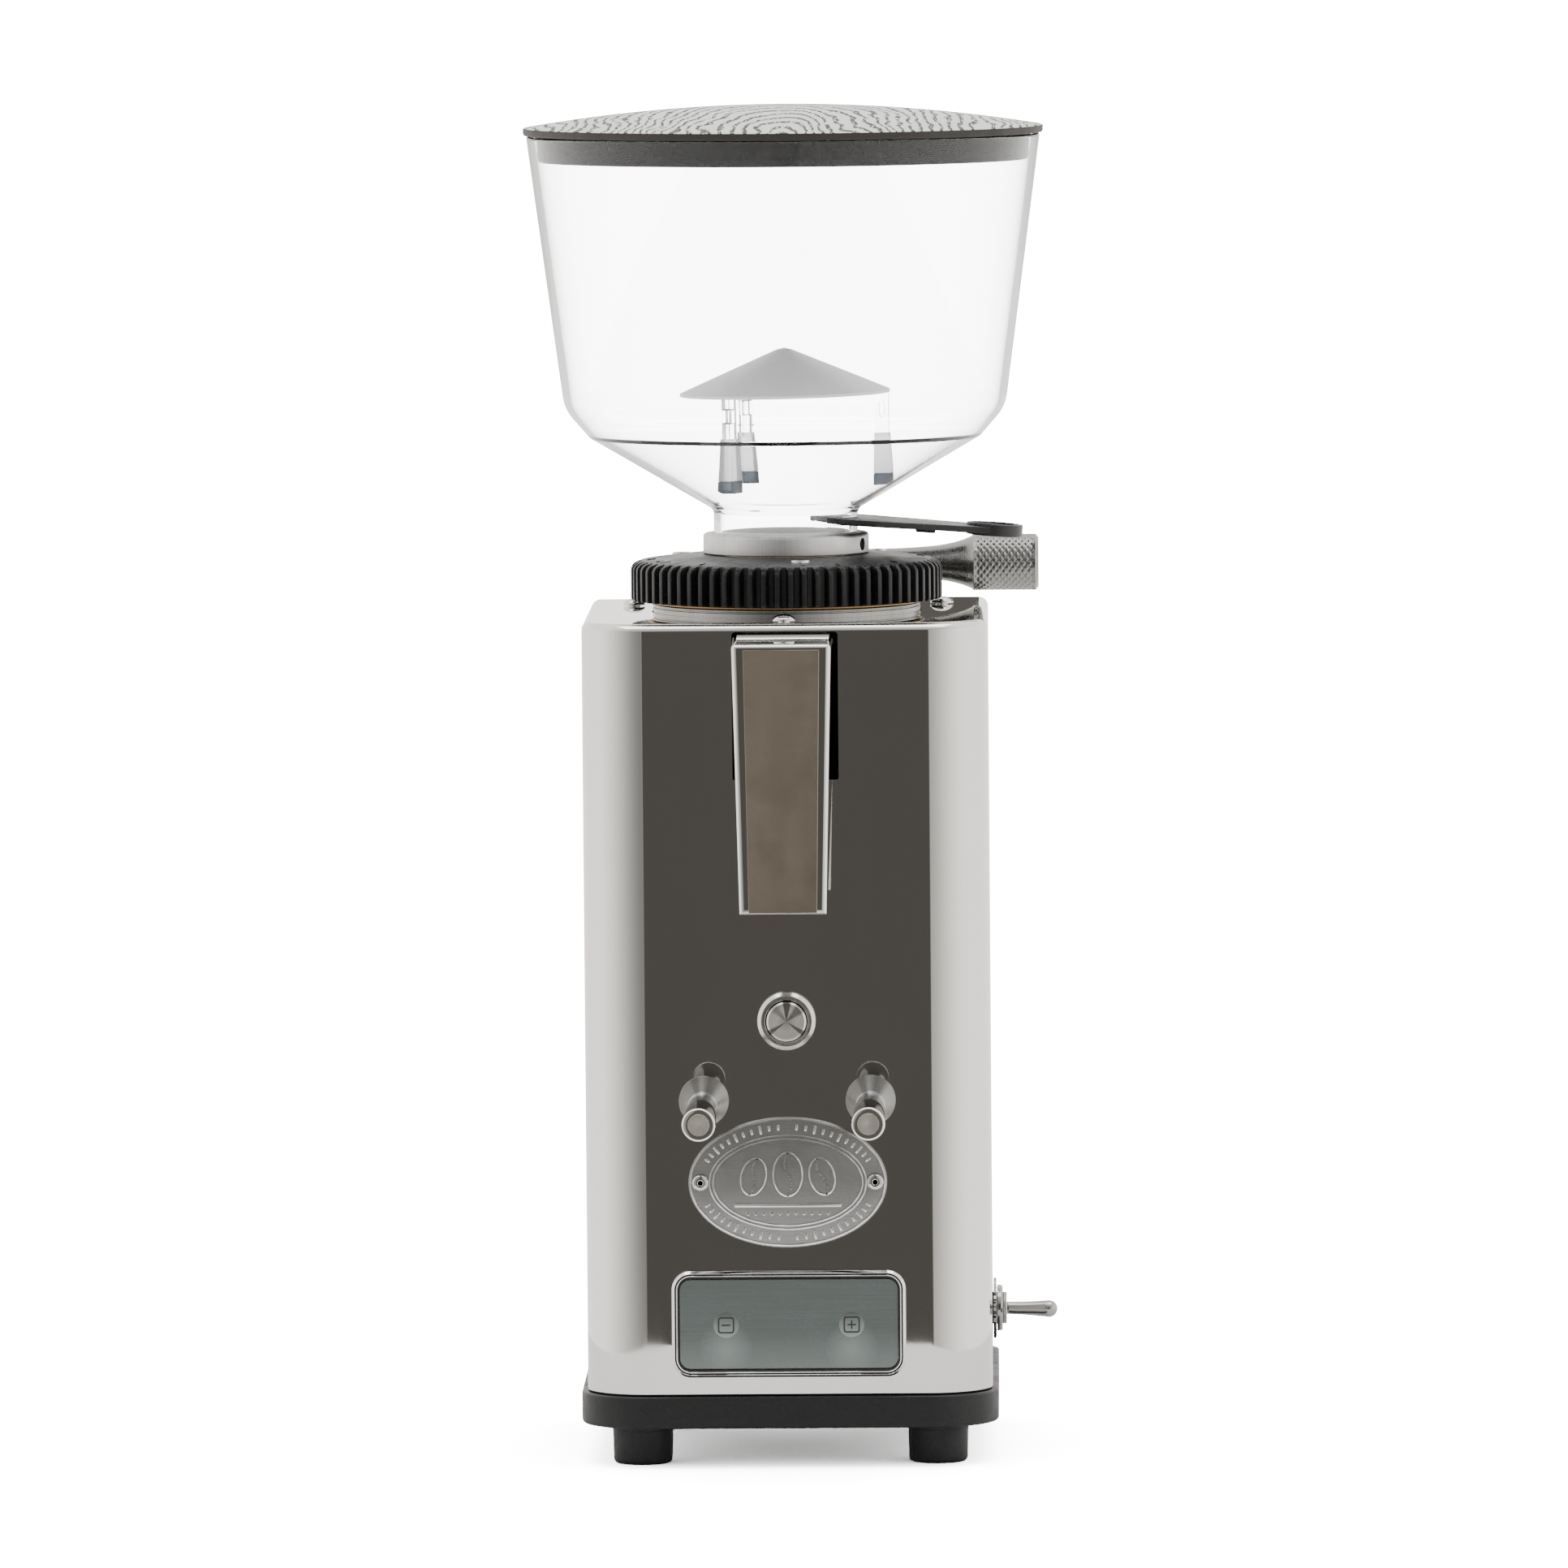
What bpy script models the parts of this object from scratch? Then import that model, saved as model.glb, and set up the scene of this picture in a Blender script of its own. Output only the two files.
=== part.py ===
"""Burr coffee grinder: a polished steel body with a clear bean hopper, flat burrs and a worm-driven
grind adjuster, modelled as the separate pieces that it is assembled from.

Units are metres. +Z is up and the front faces -Y. The origin is on the table, under the middle of the
whole object. Every piece is placed from the body axis, the upright line that the burrs turn about,
and its height is counted from a datum just below the table. The helper empty body_axis carries that
line and that datum to their places in the frame.
"""

import math

import bmesh
import bpy
from mathutils import Matrix, Vector

MM = 0.001
GAP = 0.3 * MM  # clearance between pieces that touch
TABLE = 6.5 * MM  # the table's height over the datum that all heights are counted from

# Facets round a large, a middling and a small turned piece.
LARGE = 36
MEDIUM = 20
SMALL = 12

# Body
HOUSING_WIDTH = 132.8 * MM
HOUSING_DEPTH = 138.0 * MM
HOUSING_BOTTOM = 30.6 * MM
HOUSING_TOP = 283.0 * MM
SHEET = 1.5 * MM
FRONT_CORNER_RADIUS = 20.5 * MM
REAR_CORNER_RADIUS = 3.5 * MM
TOP_BEND_RADIUS = 3.0 * MM
FRONT = -HOUSING_DEPTH / 2
REAR = HOUSING_DEPTH / 2
SIDE = HOUSING_WIDTH / 2
CEILING = HOUSING_TOP - SHEET
DISPLAY_WINDOW = (58 * MM, 18 * MM)

BASE_LEDGE = 2.0 * MM  # how far the base stands out round the housing
BASE_BOTTOM = 19.7 * MM
BASE_TOP = HOUSING_BOTTOM - GAP
BASE_FLOOR = 3.3 * MM
BASE_LIP_TOP = 36.0 * MM
BOARD_LEVEL = 38.5 * MM
VENT_SIZE = (44 * MM, 4 * MM)
VENT_PITCH = 10 * MM
POST_RADIUS = 3 * MM
FOOT_X = 48.4 * MM
FOOT_Y = 50.0 * MM
FOOT_RADIUS = 10.2 * MM

# Grinding head
CHAMBER_RING_RADIUS = 44.1 * MM
CHAMBER_RING_TOP = 285.7 * MM
CHAMBER_FLANGE_RADIUS = 63.0 * MM
CHAMBER_FLANGE_BOTTOM = 276.0 * MM
CHAMBER_BOTTOM = 218.0 * MM
CHAMBER_RADIUS = 50.0 * MM
CHAMBER_THREAD_RADIUS = 41.8 * MM
SCREW_CIRCLE = 59.0 * MM
SCREW_HOLE_RADIUS = 2.4 * MM
BURR_RADIUS = 32.0 * MM
BURR_FLOOR = 252.7 * MM  # underside of the lower burr
BURR_MEETING = 261.6 * MM  # where the two burrs face each other
THROAT_RADIUS = 20.5 * MM
SPOUT_LOW = 241.0 * MM
SPOUT_HIGH = 262.0 * MM
SPOUT_HALF_WIDTH = 13.0 * MM
SPOUT_WALL = 2.5 * MM

# Grind adjuster: a 72-tooth ring and a single-start worm behind it
TOOTH_COUNT = 72
GEAR_TIP_RADIUS = 51.4 * MM
GEAR_ROOT_RADIUS = 48.3 * MM
GEAR_BOTTOM = 287.0 * MM
GEAR_TOP = 302.0 * MM
GEAR_BORE = 26.8 * MM
GEAR_PITCH_RADIUS = (GEAR_TIP_RADIUS + GEAR_ROOT_RADIUS) / 2
WORM_LEAD = 2 * math.pi * GEAR_PITCH_RADIUS / TOOTH_COUNT
WORM_Y = 58.5 * MM
WORM_Z = 295.0 * MM
WORM_TIP_RADIUS = WORM_Y - GEAR_ROOT_RADIUS - 0.45 * MM
WORM_ROOT_RADIUS = WORM_Y - GEAR_TIP_RADIUS - 0.5 * MM
WORM_TURNS = 4
WORM_BEARING_X = 16.0 * MM
JOURNAL_RADIUS = 4.0 * MM
KNOB_RADIUS = 9.5 * MM
KNOB_START = 61.5 * MM
KNOB_END = 83.4 * MM

# Hopper, its gate and its lid
COLLAR_RADIUS = 27.35 * MM
COLLAR_BOTTOM = GEAR_TOP + GAP
COLLAR_TOP = 308.9 * MM
NECK_RADIUS = 23.8 * MM
NECK_BOTTOM = 303.3 * MM
HOPPER_WALL = 2.2 * MM
CONE_LOW = (24.5 * MM, 317.0 * MM)
CONE_HIGH = (64.5 * MM, 340.5 * MM)
HOPPER_SIDE_LOW = (72.8 * MM, 350.0 * MM)
HOPPER_RIM = (84.7 * MM, 440.0 * MM)
GATE_DROOP = math.radians(4.2)
GATE_HEIGHT = 314.4 * MM  # of the gate's mid-plane on the body axis
GATE_THICKNESS = 2.0 * MM
GATE_NOSE_RADIUS = 20.8 * MM
GATE_TRAVEL = 28.8 * MM
GATE_HALF_WIDTH = 19.0 * MM
GATE_DISC_X = 69.0 * MM
GATE_DISC_RADIUS = 9.3 * MM
GUARD_RADIUS = 34.7 * MM
GUARD_RIM = 354.0 * MM
GUARD_TIP = 369.0 * MM
LEG_RADIUS = 33.0 * MM
LID_RADIUS = 85.7 * MM
LID_BOTTOM = HOPPER_RIM[1] + GAP
LID_EDGE = 442.8 * MM
LID_TOP = 450.0 * MM

# Front panel, measured out from the housing's face
CHUTE_REACH = 55.0 * MM
CHUTE_TOP = 278.7 * MM
CHUTE_OUTLET = 192.6 * MM
CHUTE_UNDERSIDE = 232.6 * MM
CHUTE_SHEET = 1.2 * MM
CHUTE_OPENING_WIDTH = 35.7 * MM
BUTTON_Z = 153.4 * MM
BUTTON_HOLE_RADIUS = 8.2 * MM
FORK_X = 27.2 * MM
FORK_Z = 127.2 * MM
CONE_LENGTH = 18.0 * MM
PIN_TIP = 79.0 * MM
STUD_RADIUS = 2.8 * MM
STUD_HOLE_RADIUS = 3.2 * MM
BADGE_Z = 100.5 * MM
BADGE_HALF_WIDTH = 32.4 * MM
BADGE_HALF_HEIGHT = 21.4 * MM
RIVET_X = 28.5 * MM
RIVET_HOLE_RADIUS = 1.6 * MM
DISPLAY_Z = 54.2 * MM

# Side switch and cord inlet
TOGGLE_Y = -17.0 * MM
TOGGLE_Z = 53.0 * MM
TOGGLE_TIP = 87.9 * MM
TOGGLE_PIVOT_X = 67.5 * MM
TOGGLE_TILT = math.radians(-12)
BUSHING_RADIUS = 5.4 * MM
BUSHING_HOLE_RADIUS = 5.9 * MM
GLAND_X = -30.0 * MM
GLAND_Z = 47.0 * MM
GLAND_HOLE_RADIUS = 6.6 * MM

# Motor, on the body axis under the grinding chamber
MOTOR_RADIUS = 51.0 * MM
SHAFT_RADIUS = 6.0 * MM
BEARING_RADIUS = 13.0 * MM

# The body axis stands where the whole outline is centred: the lid's rim against the switch's tip
# across, and the fork's tips against the lid's rim from front to back.
AXIS_X = (LID_RADIUS - TOGGLE_TIP) / 2
AXIS_Y = (PIN_TIP - FRONT - LID_RADIUS) / 2

# Finishes: base colour, roughness, metallic, alpha.
FINISHES = {
    "polished_steel": ((0.72, 0.71, 0.69), 0.06, 1.0, 1.0),
    "satin_steel": ((0.62, 0.62, 0.61), 0.32, 1.0, 1.0),
    "satin_aluminium": ((0.70, 0.70, 0.69), 0.35, 1.0, 1.0),
    "cast_aluminium": ((0.55, 0.55, 0.56), 0.50, 1.0, 1.0),
    "burr_steel": ((0.50, 0.50, 0.51), 0.30, 1.0, 1.0),
    "brass": ((0.62, 0.42, 0.20), 0.35, 1.0, 1.0),
    "motor_steel": ((0.30, 0.31, 0.33), 0.45, 1.0, 1.0),
    "black_plastic": ((0.025, 0.025, 0.027), 0.45, 0.0, 1.0),
    "rubber": ((0.028, 0.029, 0.030), 0.75, 0.0, 1.0),
    "clear_plastic": ((0.93, 0.95, 0.96), 0.05, 0.0, 0.25),
    "veneer": ((0.60, 0.60, 0.59), 0.55, 0.0, 1.0),
    "display_glass": ((0.12, 0.16, 0.155), 0.12, 0.0, 1.0),
    "badge_metal": ((0.42, 0.42, 0.41), 0.35, 1.0, 1.0),
    "circuit_board": ((0.03, 0.16, 0.07), 0.50, 0.0, 1.0),
}

FACING_FRONT = (math.pi / 2, 0, 0)  # turns a piece's own +Z to the front
FACING_REAR = (-math.pi / 2, 0, 0)
FACING_RIGHT = (0, math.pi / 2, 0)


def clear_scene():
    for obj in list(bpy.data.objects):
        bpy.data.objects.remove(obj, do_unlink=True)


clear_scene()

GRINDER = bpy.data.collections.new("burr_coffee_grinder")
CUTTERS = bpy.data.collections.new("cutters")
bpy.context.scene.collection.children.link(GRINDER)
bpy.context.scene.collection.children.link(CUTTERS)

BODY_AXIS = bpy.data.objects.new("body_axis", None)
BODY_AXIS.location = (AXIS_X, AXIS_Y, -TABLE)
GRINDER.objects.link(BODY_AXIS)


# Making objects


def give_material(obj, finish):
    colour, roughness, metallic, alpha = FINISHES[finish]
    material = bpy.data.materials.new(obj.name)
    material.use_nodes = True
    shader = material.node_tree.nodes["Principled BSDF"]
    shader.inputs["Base Color"].default_value = (*colour, 1)
    shader.inputs["Roughness"].default_value = roughness
    shader.inputs["Metallic"].default_value = metallic
    shader.inputs["Alpha"].default_value = alpha
    material.diffuse_color = (*colour, alpha)
    obj.data.materials.append(material)


def place(name, mesh, finish, location=(0, 0, 0), rotation=(0, 0, 0), parent=None):
    """Puts a mesh in the scene, from its parent or the body axis. Without a finish it is a cutter."""
    obj = bpy.data.objects.new(name, mesh)
    obj.parent = parent or BODY_AXIS
    obj.location = location
    obj.rotation_euler = rotation
    if finish:
        GRINDER.objects.link(obj)
        give_material(obj, finish)
        mesh.set_sharp_from_angle(angle=math.radians(30))
    else:
        CUTTERS.objects.link(obj)
        obj.hide_render = True
        obj.display_type = "WIRE"
    return obj


def pivot(name, location, rotation=(0, 0, 0)):
    empty = bpy.data.objects.new(name, None)
    empty.parent = BODY_AXIS
    empty.location = location
    empty.rotation_euler = rotation
    GRINDER.objects.link(empty)
    return empty


def mesh_from(bm, name):
    bmesh.ops.recalc_face_normals(bm, faces=bm.faces)
    mesh = bpy.data.meshes.new(name)
    bm.to_mesh(mesh)
    bm.free()
    mesh.shade_smooth()
    return mesh


def turned(name, profile, finish=None, steps=MEDIUM, ring=False, **where):
    """A turned piece about its own Z. The profile's (radius, height) points run down the outer side
    and back up the inner side, which a ring has and a piece that reaches the axis hasn't."""
    mesh = bpy.data.meshes.new(name)
    points = [(radius, 0, height) for radius, height in profile]
    edges = [(i, i + 1) for i in range(len(points) - 1)]
    if ring:
        edges.append((len(points) - 1, 0))
    mesh.from_pydata(points, edges, [])
    obj = place(name, mesh, finish, **where)
    screw = obj.modifiers.new("turn", "SCREW")
    screw.steps = steps
    screw.render_steps = steps
    screw.use_merge_vertices = True
    screw.merge_threshold = 1e-5
    return obj


def extruded_mesh(name, outlines, low, high):
    """A flat outline, with any further outlines as holes in it, extruded from low to high along Z."""
    curve = bpy.data.curves.new(name, "CURVE")
    curve.dimensions = "2D"
    curve.fill_mode = "BOTH"
    curve.extrude = (high - low) / 2
    for outline in outlines:
        spline = curve.splines.new("POLY")
        spline.points.add(len(outline) - 1)
        for point, (x, y) in zip(spline.points, outline):
            point.co = (x, y, 0, 1)
        spline.use_cyclic_u = True
    guide = bpy.data.objects.new(name, curve)
    bpy.context.scene.collection.objects.link(guide)
    graph = bpy.context.evaluated_depsgraph_get()
    mesh = bpy.data.meshes.new_from_object(guide.evaluated_get(graph))
    bpy.data.objects.remove(guide, do_unlink=True)
    bpy.data.curves.remove(curve)
    bm = bmesh.new()
    bm.from_mesh(mesh)
    bpy.data.meshes.remove(mesh)
    bmesh.ops.remove_doubles(bm, verts=bm.verts, dist=1e-6)
    bmesh.ops.translate(bm, verts=bm.verts, vec=(0, 0, (low + high) / 2))
    return mesh_from(bm, name)


def extruded(name, outlines, low, high, finish=None, **where):
    return place(name, extruded_mesh(name, outlines, low, high), finish, **where)


def boxes(name, shapes, finish=None, **where):
    """One mesh of boxes that stay apart, each given as (low corner, high corner, turn about Z)."""
    bm = bmesh.new()
    for low, high, turn in shapes:
        size = Vector(high) - Vector(low)
        middle = (Vector(high) + Vector(low)) / 2
        fitted = Matrix.Translation(middle) @ Matrix.Diagonal(size).to_4x4()
        bmesh.ops.create_cube(bm, size=1, matrix=Matrix.Rotation(turn, 4, "Z") @ fitted)
    return place(name, mesh_from(bm, name), finish, **where)


def box(name, low, high, finish=None, **where):
    return boxes(name, [(low, high, 0)], finish, **where)


def rod(name, radius, low, high, finish=None, steps=MEDIUM, **where):
    return turned(name, [(0, high), (radius, high), (radius, low), (0, low)], finish, steps, **where)


def combine(obj, others, operation):
    for other in others:
        boolean = obj.modifiers.new(other.name, "BOOLEAN")
        boolean.operation = operation
        boolean.object = other
        boolean.solver = "EXACT"
    return obj


def cut(obj, *cutters):
    return combine(obj, cutters, "DIFFERENCE")


def join(obj, *additions):
    return combine(obj, additions, "UNION")


def round_edges(obj, width, segments=2):
    bevel = obj.modifiers.new("round", "BEVEL")
    bevel.width = width
    bevel.segments = segments
    bevel.limit_method = "ANGLE"
    bevel.angle_limit = math.radians(40)
    return obj


# Outlines


def arc(centre, radius, start, end, steps):
    """Points of an arc, from one angle in degrees to another."""
    points = []
    for i in range(steps + 1):
        angle = math.radians(start + (end - start) * i / steps)
        points.append((centre[0] + radius * math.cos(angle), centre[1] + radius * math.sin(angle)))
    return points


def rounded_outline(width, depth, low_radius, high_radius, steps=6):
    """A rectangle about the origin, with one corner radius on its -Y side and one on its +Y side."""
    x = width / 2
    y = depth / 2
    outline = arc((-x + low_radius, -y + low_radius), low_radius, 180, 270, steps)
    outline += arc((x - low_radius, -y + low_radius), low_radius, 270, 360, steps)
    high_steps = min(steps, 4)
    outline += arc((x - high_radius, y - high_radius), high_radius, 0, 90, high_steps)
    outline += arc((-x + high_radius, y - high_radius), high_radius, 90, 180, high_steps)
    return outline


def ellipse(half_width, half_height, steps):
    turns = [2 * math.pi * i / steps for i in range(steps)]
    return [(half_width * math.cos(turn), half_height * math.sin(turn)) for turn in turns]


def hexagon(radius):
    return ellipse(radius, radius, 6)


def housing_outline(inset):
    return rounded_outline(
        HOUSING_WIDTH - 2 * inset,
        HOUSING_DEPTH - 2 * inset,
        FRONT_CORNER_RADIUS - inset,
        max(REAR_CORNER_RADIUS - inset, 1 * MM),
    )


# Body


def make_housing():
    trim = 12 * MM
    below_bottom = HOUSING_BOTTOM - 2 * trim
    outline = [housing_outline(0)]
    housing = extruded("housing", outline, HOUSING_BOTTOM - trim, HOUSING_TOP, "polished_steel")
    round_edges(housing, TOP_BEND_RADIUS, 3)
    void = extruded("housing_void", [housing_outline(SHEET)], below_bottom, CEILING)
    below = box(
        "housing_trim",
        (-2 * SIDE, 2 * FRONT, below_bottom),
        (2 * SIDE, 2 * REAR, HOUSING_BOTTOM),
    )
    half_opening = CHUTE_OPENING_WIDTH / 2
    opening = box(
        "housing_chute_opening",
        (-half_opening, FRONT - trim, CHUTE_UNDERSIDE - 2 * GAP),
        (half_opening, FRONT + 3 * SHEET, CEILING - 0.5 * MM),
    )
    window_x = DISPLAY_WINDOW[0] / 2
    window_z = DISPLAY_WINDOW[1] / 2
    window = box(
        "housing_display_window",
        (-window_x, FRONT - trim, DISPLAY_Z - window_z),
        (window_x, FRONT + trim, DISPLAY_Z + window_z),
    )
    cut(housing, void, below, opening, window)
    for hole in housing_holes(trim):
        cut(housing, hole)


def housing_holes(reach):
    """The round holes' cutters. Each runs this far to both sides of the sheet."""
    ring = CHAMBER_RING_RADIUS + 0.4 * MM
    top = {"low": CEILING - reach, "high": HOUSING_TOP + reach}
    holes = [rod("housing_ring_hole", ring, **top, steps=LARGE)]
    for i, (x, y) in enumerate(screw_places()):
        name = f"housing_screw_hole_{i}"
        holes.append(rod(name, SCREW_HOLE_RADIUS, **top, steps=SMALL, location=(x, y, 0)))
    places = [("button", BUTTON_HOLE_RADIUS, (0, FRONT, BUTTON_Z), FACING_FRONT)]
    for side in (-1, 1):
        places.append((f"fork_{side}", STUD_HOLE_RADIUS, (side * FORK_X, FRONT, FORK_Z), FACING_FRONT))
        places.append((f"rivet_{side}", RIVET_HOLE_RADIUS, (side * RIVET_X, FRONT, BADGE_Z), FACING_FRONT))
    places.append(("toggle", BUSHING_HOLE_RADIUS, (SIDE, TOGGLE_Y, TOGGLE_Z), FACING_RIGHT))
    places.append(("gland", GLAND_HOLE_RADIUS, (GLAND_X, REAR, GLAND_Z), FACING_REAR))
    for name, radius, location, rotation in places:
        where = {"location": location, "rotation": rotation}
        holes.append(rod(f"housing_{name}_hole", radius, -reach, reach, steps=SMALL, **where))
    return holes


def make_base():
    ledge = rounded_outline(
        HOUSING_WIDTH + 2 * BASE_LEDGE,
        HOUSING_DEPTH + 2 * BASE_LEDGE,
        FRONT_CORNER_RADIUS + BASE_LEDGE,
        REAR_CORNER_RADIUS + BASE_LEDGE,
    )
    floor = BASE_BOTTOM + BASE_FLOOR
    lip_inset = SHEET + GAP
    lip_wall = 2.4 * MM
    base = extruded("base_tray", [ledge], BASE_BOTTOM, BASE_TOP, "black_plastic")
    lip = extruded("base_lip", [housing_outline(lip_inset)], floor, BASE_LIP_TOP)
    inside = [housing_outline(lip_inset + lip_wall)]
    pocket = extruded("base_pocket", inside, floor, BASE_LIP_TOP + BASE_FLOOR)
    vent_x = VENT_SIZE[0] / 2
    vent_y = VENT_SIZE[1] / 2
    vents = []
    for row in range(-2, 3):
        y = VENT_PITCH * row
        vents.append(((-vent_x, y - vent_y, BASE_BOTTOM - BASE_FLOOR), (vent_x, y + vent_y, BASE_TOP), 0))
    join(base, lip)
    cut(base, pocket, boxes("base_vents", vents))
    for x in (-40 * MM, 40 * MM):
        for y in (-36 * MM, 36 * MM):
            where = {"steps": SMALL, "location": (x, y, 0)}
            join(base, rod("base_post", POST_RADIUS, floor - 2 * MM, BOARD_LEVEL - GAP, **where))


def make_feet():
    top = BASE_BOTTOM - GAP
    low_radius = 9.3 * MM
    edge = 1.5 * MM
    profile = [(0, top), (FOOT_RADIUS, top)]
    profile += arc((low_radius - edge, TABLE + edge), edge, 0, -90, 3)
    profile += [(0, TABLE)]
    for side, x in (("left", -FOOT_X), ("right", FOOT_X)):
        for end, y in (("front", -FOOT_Y), ("rear", FOOT_Y)):
            turned(f"foot_{end}_{side}", profile, "rubber", MEDIUM, location=(x, y, 0))


# Grinding head


def screw_places():
    """One chamber screw at the front and one on each side towards the rear."""
    angles = [math.radians(angle) for angle in (-90, 30, 150)]
    return [(SCREW_CIRCLE * math.cos(angle), SCREW_CIRCLE * math.sin(angle)) for angle in angles]


def make_chamber():
    """A cast bowl round the burrs, with a flange under the housing's top and a ring that stands through it."""
    top = CHAMBER_RING_TOP
    flange_top = CEILING - GAP
    skirt_radius = 46 * MM
    hub_radius = 9 * MM
    bowl_radius = 38 * MM
    bowl_bottom = 234 * MM
    bowl_floor = 241.5 * MM
    profile = [
        (CHAMBER_RING_RADIUS, top),
        (CHAMBER_RING_RADIUS, flange_top),
        (CHAMBER_FLANGE_RADIUS, flange_top),
        (CHAMBER_FLANGE_RADIUS, CHAMBER_FLANGE_BOTTOM),
        (CHAMBER_RADIUS, CHAMBER_FLANGE_BOTTOM),
        (CHAMBER_RADIUS, CHAMBER_BOTTOM),
        (skirt_radius, CHAMBER_BOTTOM),
        (skirt_radius, bowl_bottom),
        (hub_radius, bowl_bottom),
        (hub_radius, bowl_floor),
        (bowl_radius, bowl_floor),
        (bowl_radius, SPOUT_HIGH),
        (CHAMBER_THREAD_RADIUS, SPOUT_HIGH),
        (CHAMBER_THREAD_RADIUS, top),
    ]
    chamber = turned("grinding_chamber", profile, "cast_aluminium", LARGE, ring=True)
    half = SPOUT_HALF_WIDTH
    spout = box(
        "chamber_spout",
        (-half, FRONT + 3 * MM, SPOUT_LOW - 3 * MM),
        (half, -44 * MM, SPOUT_HIGH + 2 * MM),
    )
    half -= SPOUT_WALL
    port = box(
        "chamber_port",
        (-half, FRONT, SPOUT_LOW + 2 * MM),
        (half, -34 * MM, SPOUT_HIGH - 1.5 * MM),
    )
    join(chamber, spout)
    cut(chamber, port)
    low = CHAMBER_FLANGE_BOTTOM - 6 * MM
    for i, (x, y) in enumerate(screw_places()):
        where = {"steps": SMALL, "location": (x, y, 0)}
        cut(chamber, rod(f"chamber_screw_hole_{i}", SCREW_HOLE_RADIUS, low, top + 4 * MM, **where))


def make_chamber_screws():
    head_radius = 3.8 * MM
    head_height = 2.2 * MM
    shank_radius = 2 * MM
    seat = HOUSING_TOP + GAP
    steps = 4
    profile = [(0, seat + head_height)]
    for i in range(1, steps + 1):
        angle = math.pi / 2 * (1 - i / steps)
        profile.append((head_radius * math.cos(angle), seat + head_height * math.sin(angle)))
    profile += [(shank_radius, seat), (shank_radius, CHAMBER_FLANGE_BOTTOM), (0, CHAMBER_FLANGE_BOTTOM)]
    socket = [hexagon(1.4 * MM)]
    for name, (x, y) in zip(("front", "rear_right", "rear_left"), screw_places()):
        spot = (x, y, 0)
        screw = turned(f"chamber_screw_{name}", profile, "satin_steel", SMALL, location=spot)
        low = seat + 0.8 * MM
        cut(screw, extruded(f"screw_socket_{name}", socket, low, low + head_height * 2, location=spot))


def burr_grooves(name, low, high):
    """Slanting grooves across a burr's face, from its mouth out to its rim."""
    count = 16
    inner_end = (21.5 * MM, -5.2 * MM, low)
    outer_end = (BURR_RADIUS + 3 * MM, -3.6 * MM, high)
    return boxes(name, [(inner_end, outer_end, 2 * math.pi * i / count) for i in range(count)])


def make_burrs():
    shaft_clearance = 5.3 * MM
    carrier_top = BURR_FLOOR - GAP
    carrier = turned(
        "lower_burr_carrier",
        [
            (33 * MM, carrier_top),
            (33 * MM, 243.5 * MM),
            (12 * MM, 243.5 * MM),
            (12 * MM, 242.0 * MM),
            (shaft_clearance, 242.0 * MM),
            (shaft_clearance, carrier_top),
        ],
        "cast_aluminium",
        ring=True,
    )
    inner_end = (31 * MM, -1.5 * MM, 244 * MM)
    outer_end = (37 * MM, 1.5 * MM, carrier_top - 0.5 * MM)
    join(carrier, boxes("carrier_vanes", [(inner_end, outer_end, math.pi / 2 * i) for i in range(4)]))
    face = BURR_MEETING - GAP
    lower = turned(
        "lower_burr",
        [
            (BURR_RADIUS, face),
            (BURR_RADIUS, BURR_FLOOR),
            (15 * MM, BURR_FLOOR),
            (15 * MM, face - 5 * MM),
            (22 * MM, face),
        ],
        "burr_steel",
        ring=True,
    )
    cut(lower, burr_grooves("lower_grooves", face - 1.6 * MM, face + 2 * MM))
    face = BURR_MEETING + GAP
    upper = turned(
        "upper_burr",
        [
            (BURR_RADIUS, face + 8 * MM),
            (BURR_RADIUS, face),
            (24 * MM, face),
            (19 * MM, face + 5 * MM),
            (19 * MM, face + 8 * MM),
        ],
        "burr_steel",
        ring=True,
    )
    cut(upper, burr_grooves("upper_grooves", face - 2 * MM, face + 1.6 * MM))


def make_upper_carrier():
    flange_low = CHAMBER_RING_TOP + GAP
    flange_high = GEAR_BOTTOM - GAP
    thread_radius = CHAMBER_THREAD_RADIUS - 0.4 * MM
    recess_radius = BURR_RADIUS + 0.4 * MM
    recess_top = BURR_MEETING + 8.6 * MM
    bottom = SPOUT_HIGH + 0.5 * MM
    sleeve_radius = GEAR_BORE - GAP
    turned(
        "upper_burr_carrier",
        [
            (sleeve_radius, GEAR_TOP - GAP),
            (sleeve_radius, flange_high),
            (45.5 * MM, flange_high),
            (45.5 * MM, flange_low),
            (thread_radius, flange_low),
            (thread_radius, bottom),
            (recess_radius, bottom),
            (recess_radius, recess_top),
            (THROAT_RADIUS, recess_top),
            (THROAT_RADIUS, GEAR_TOP - GAP),
        ],
        "brass",
        LARGE,
        ring=True,
    )


# Grind adjuster


def gear_outline():
    """Straight-sided teeth. A gap faces the worm, at +Y: the tooth count is a multiple of four."""
    step = 2 * math.pi / TOOTH_COUNT
    root_half = 1.35 * MM / GEAR_ROOT_RADIUS
    tip_half = 0.6 * MM / GEAR_TIP_RADIUS
    outline = []
    for i in range(TOOTH_COUNT):
        centre = (i + 0.5) * step
        corners = (
            (GEAR_ROOT_RADIUS, centre - root_half),
            (GEAR_TIP_RADIUS, centre - tip_half),
            (GEAR_TIP_RADIUS, centre + tip_half),
            (GEAR_ROOT_RADIUS, centre + root_half),
        )
        outline += [(radius * math.cos(angle), radius * math.sin(angle)) for radius, angle in corners]
    return outline


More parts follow.
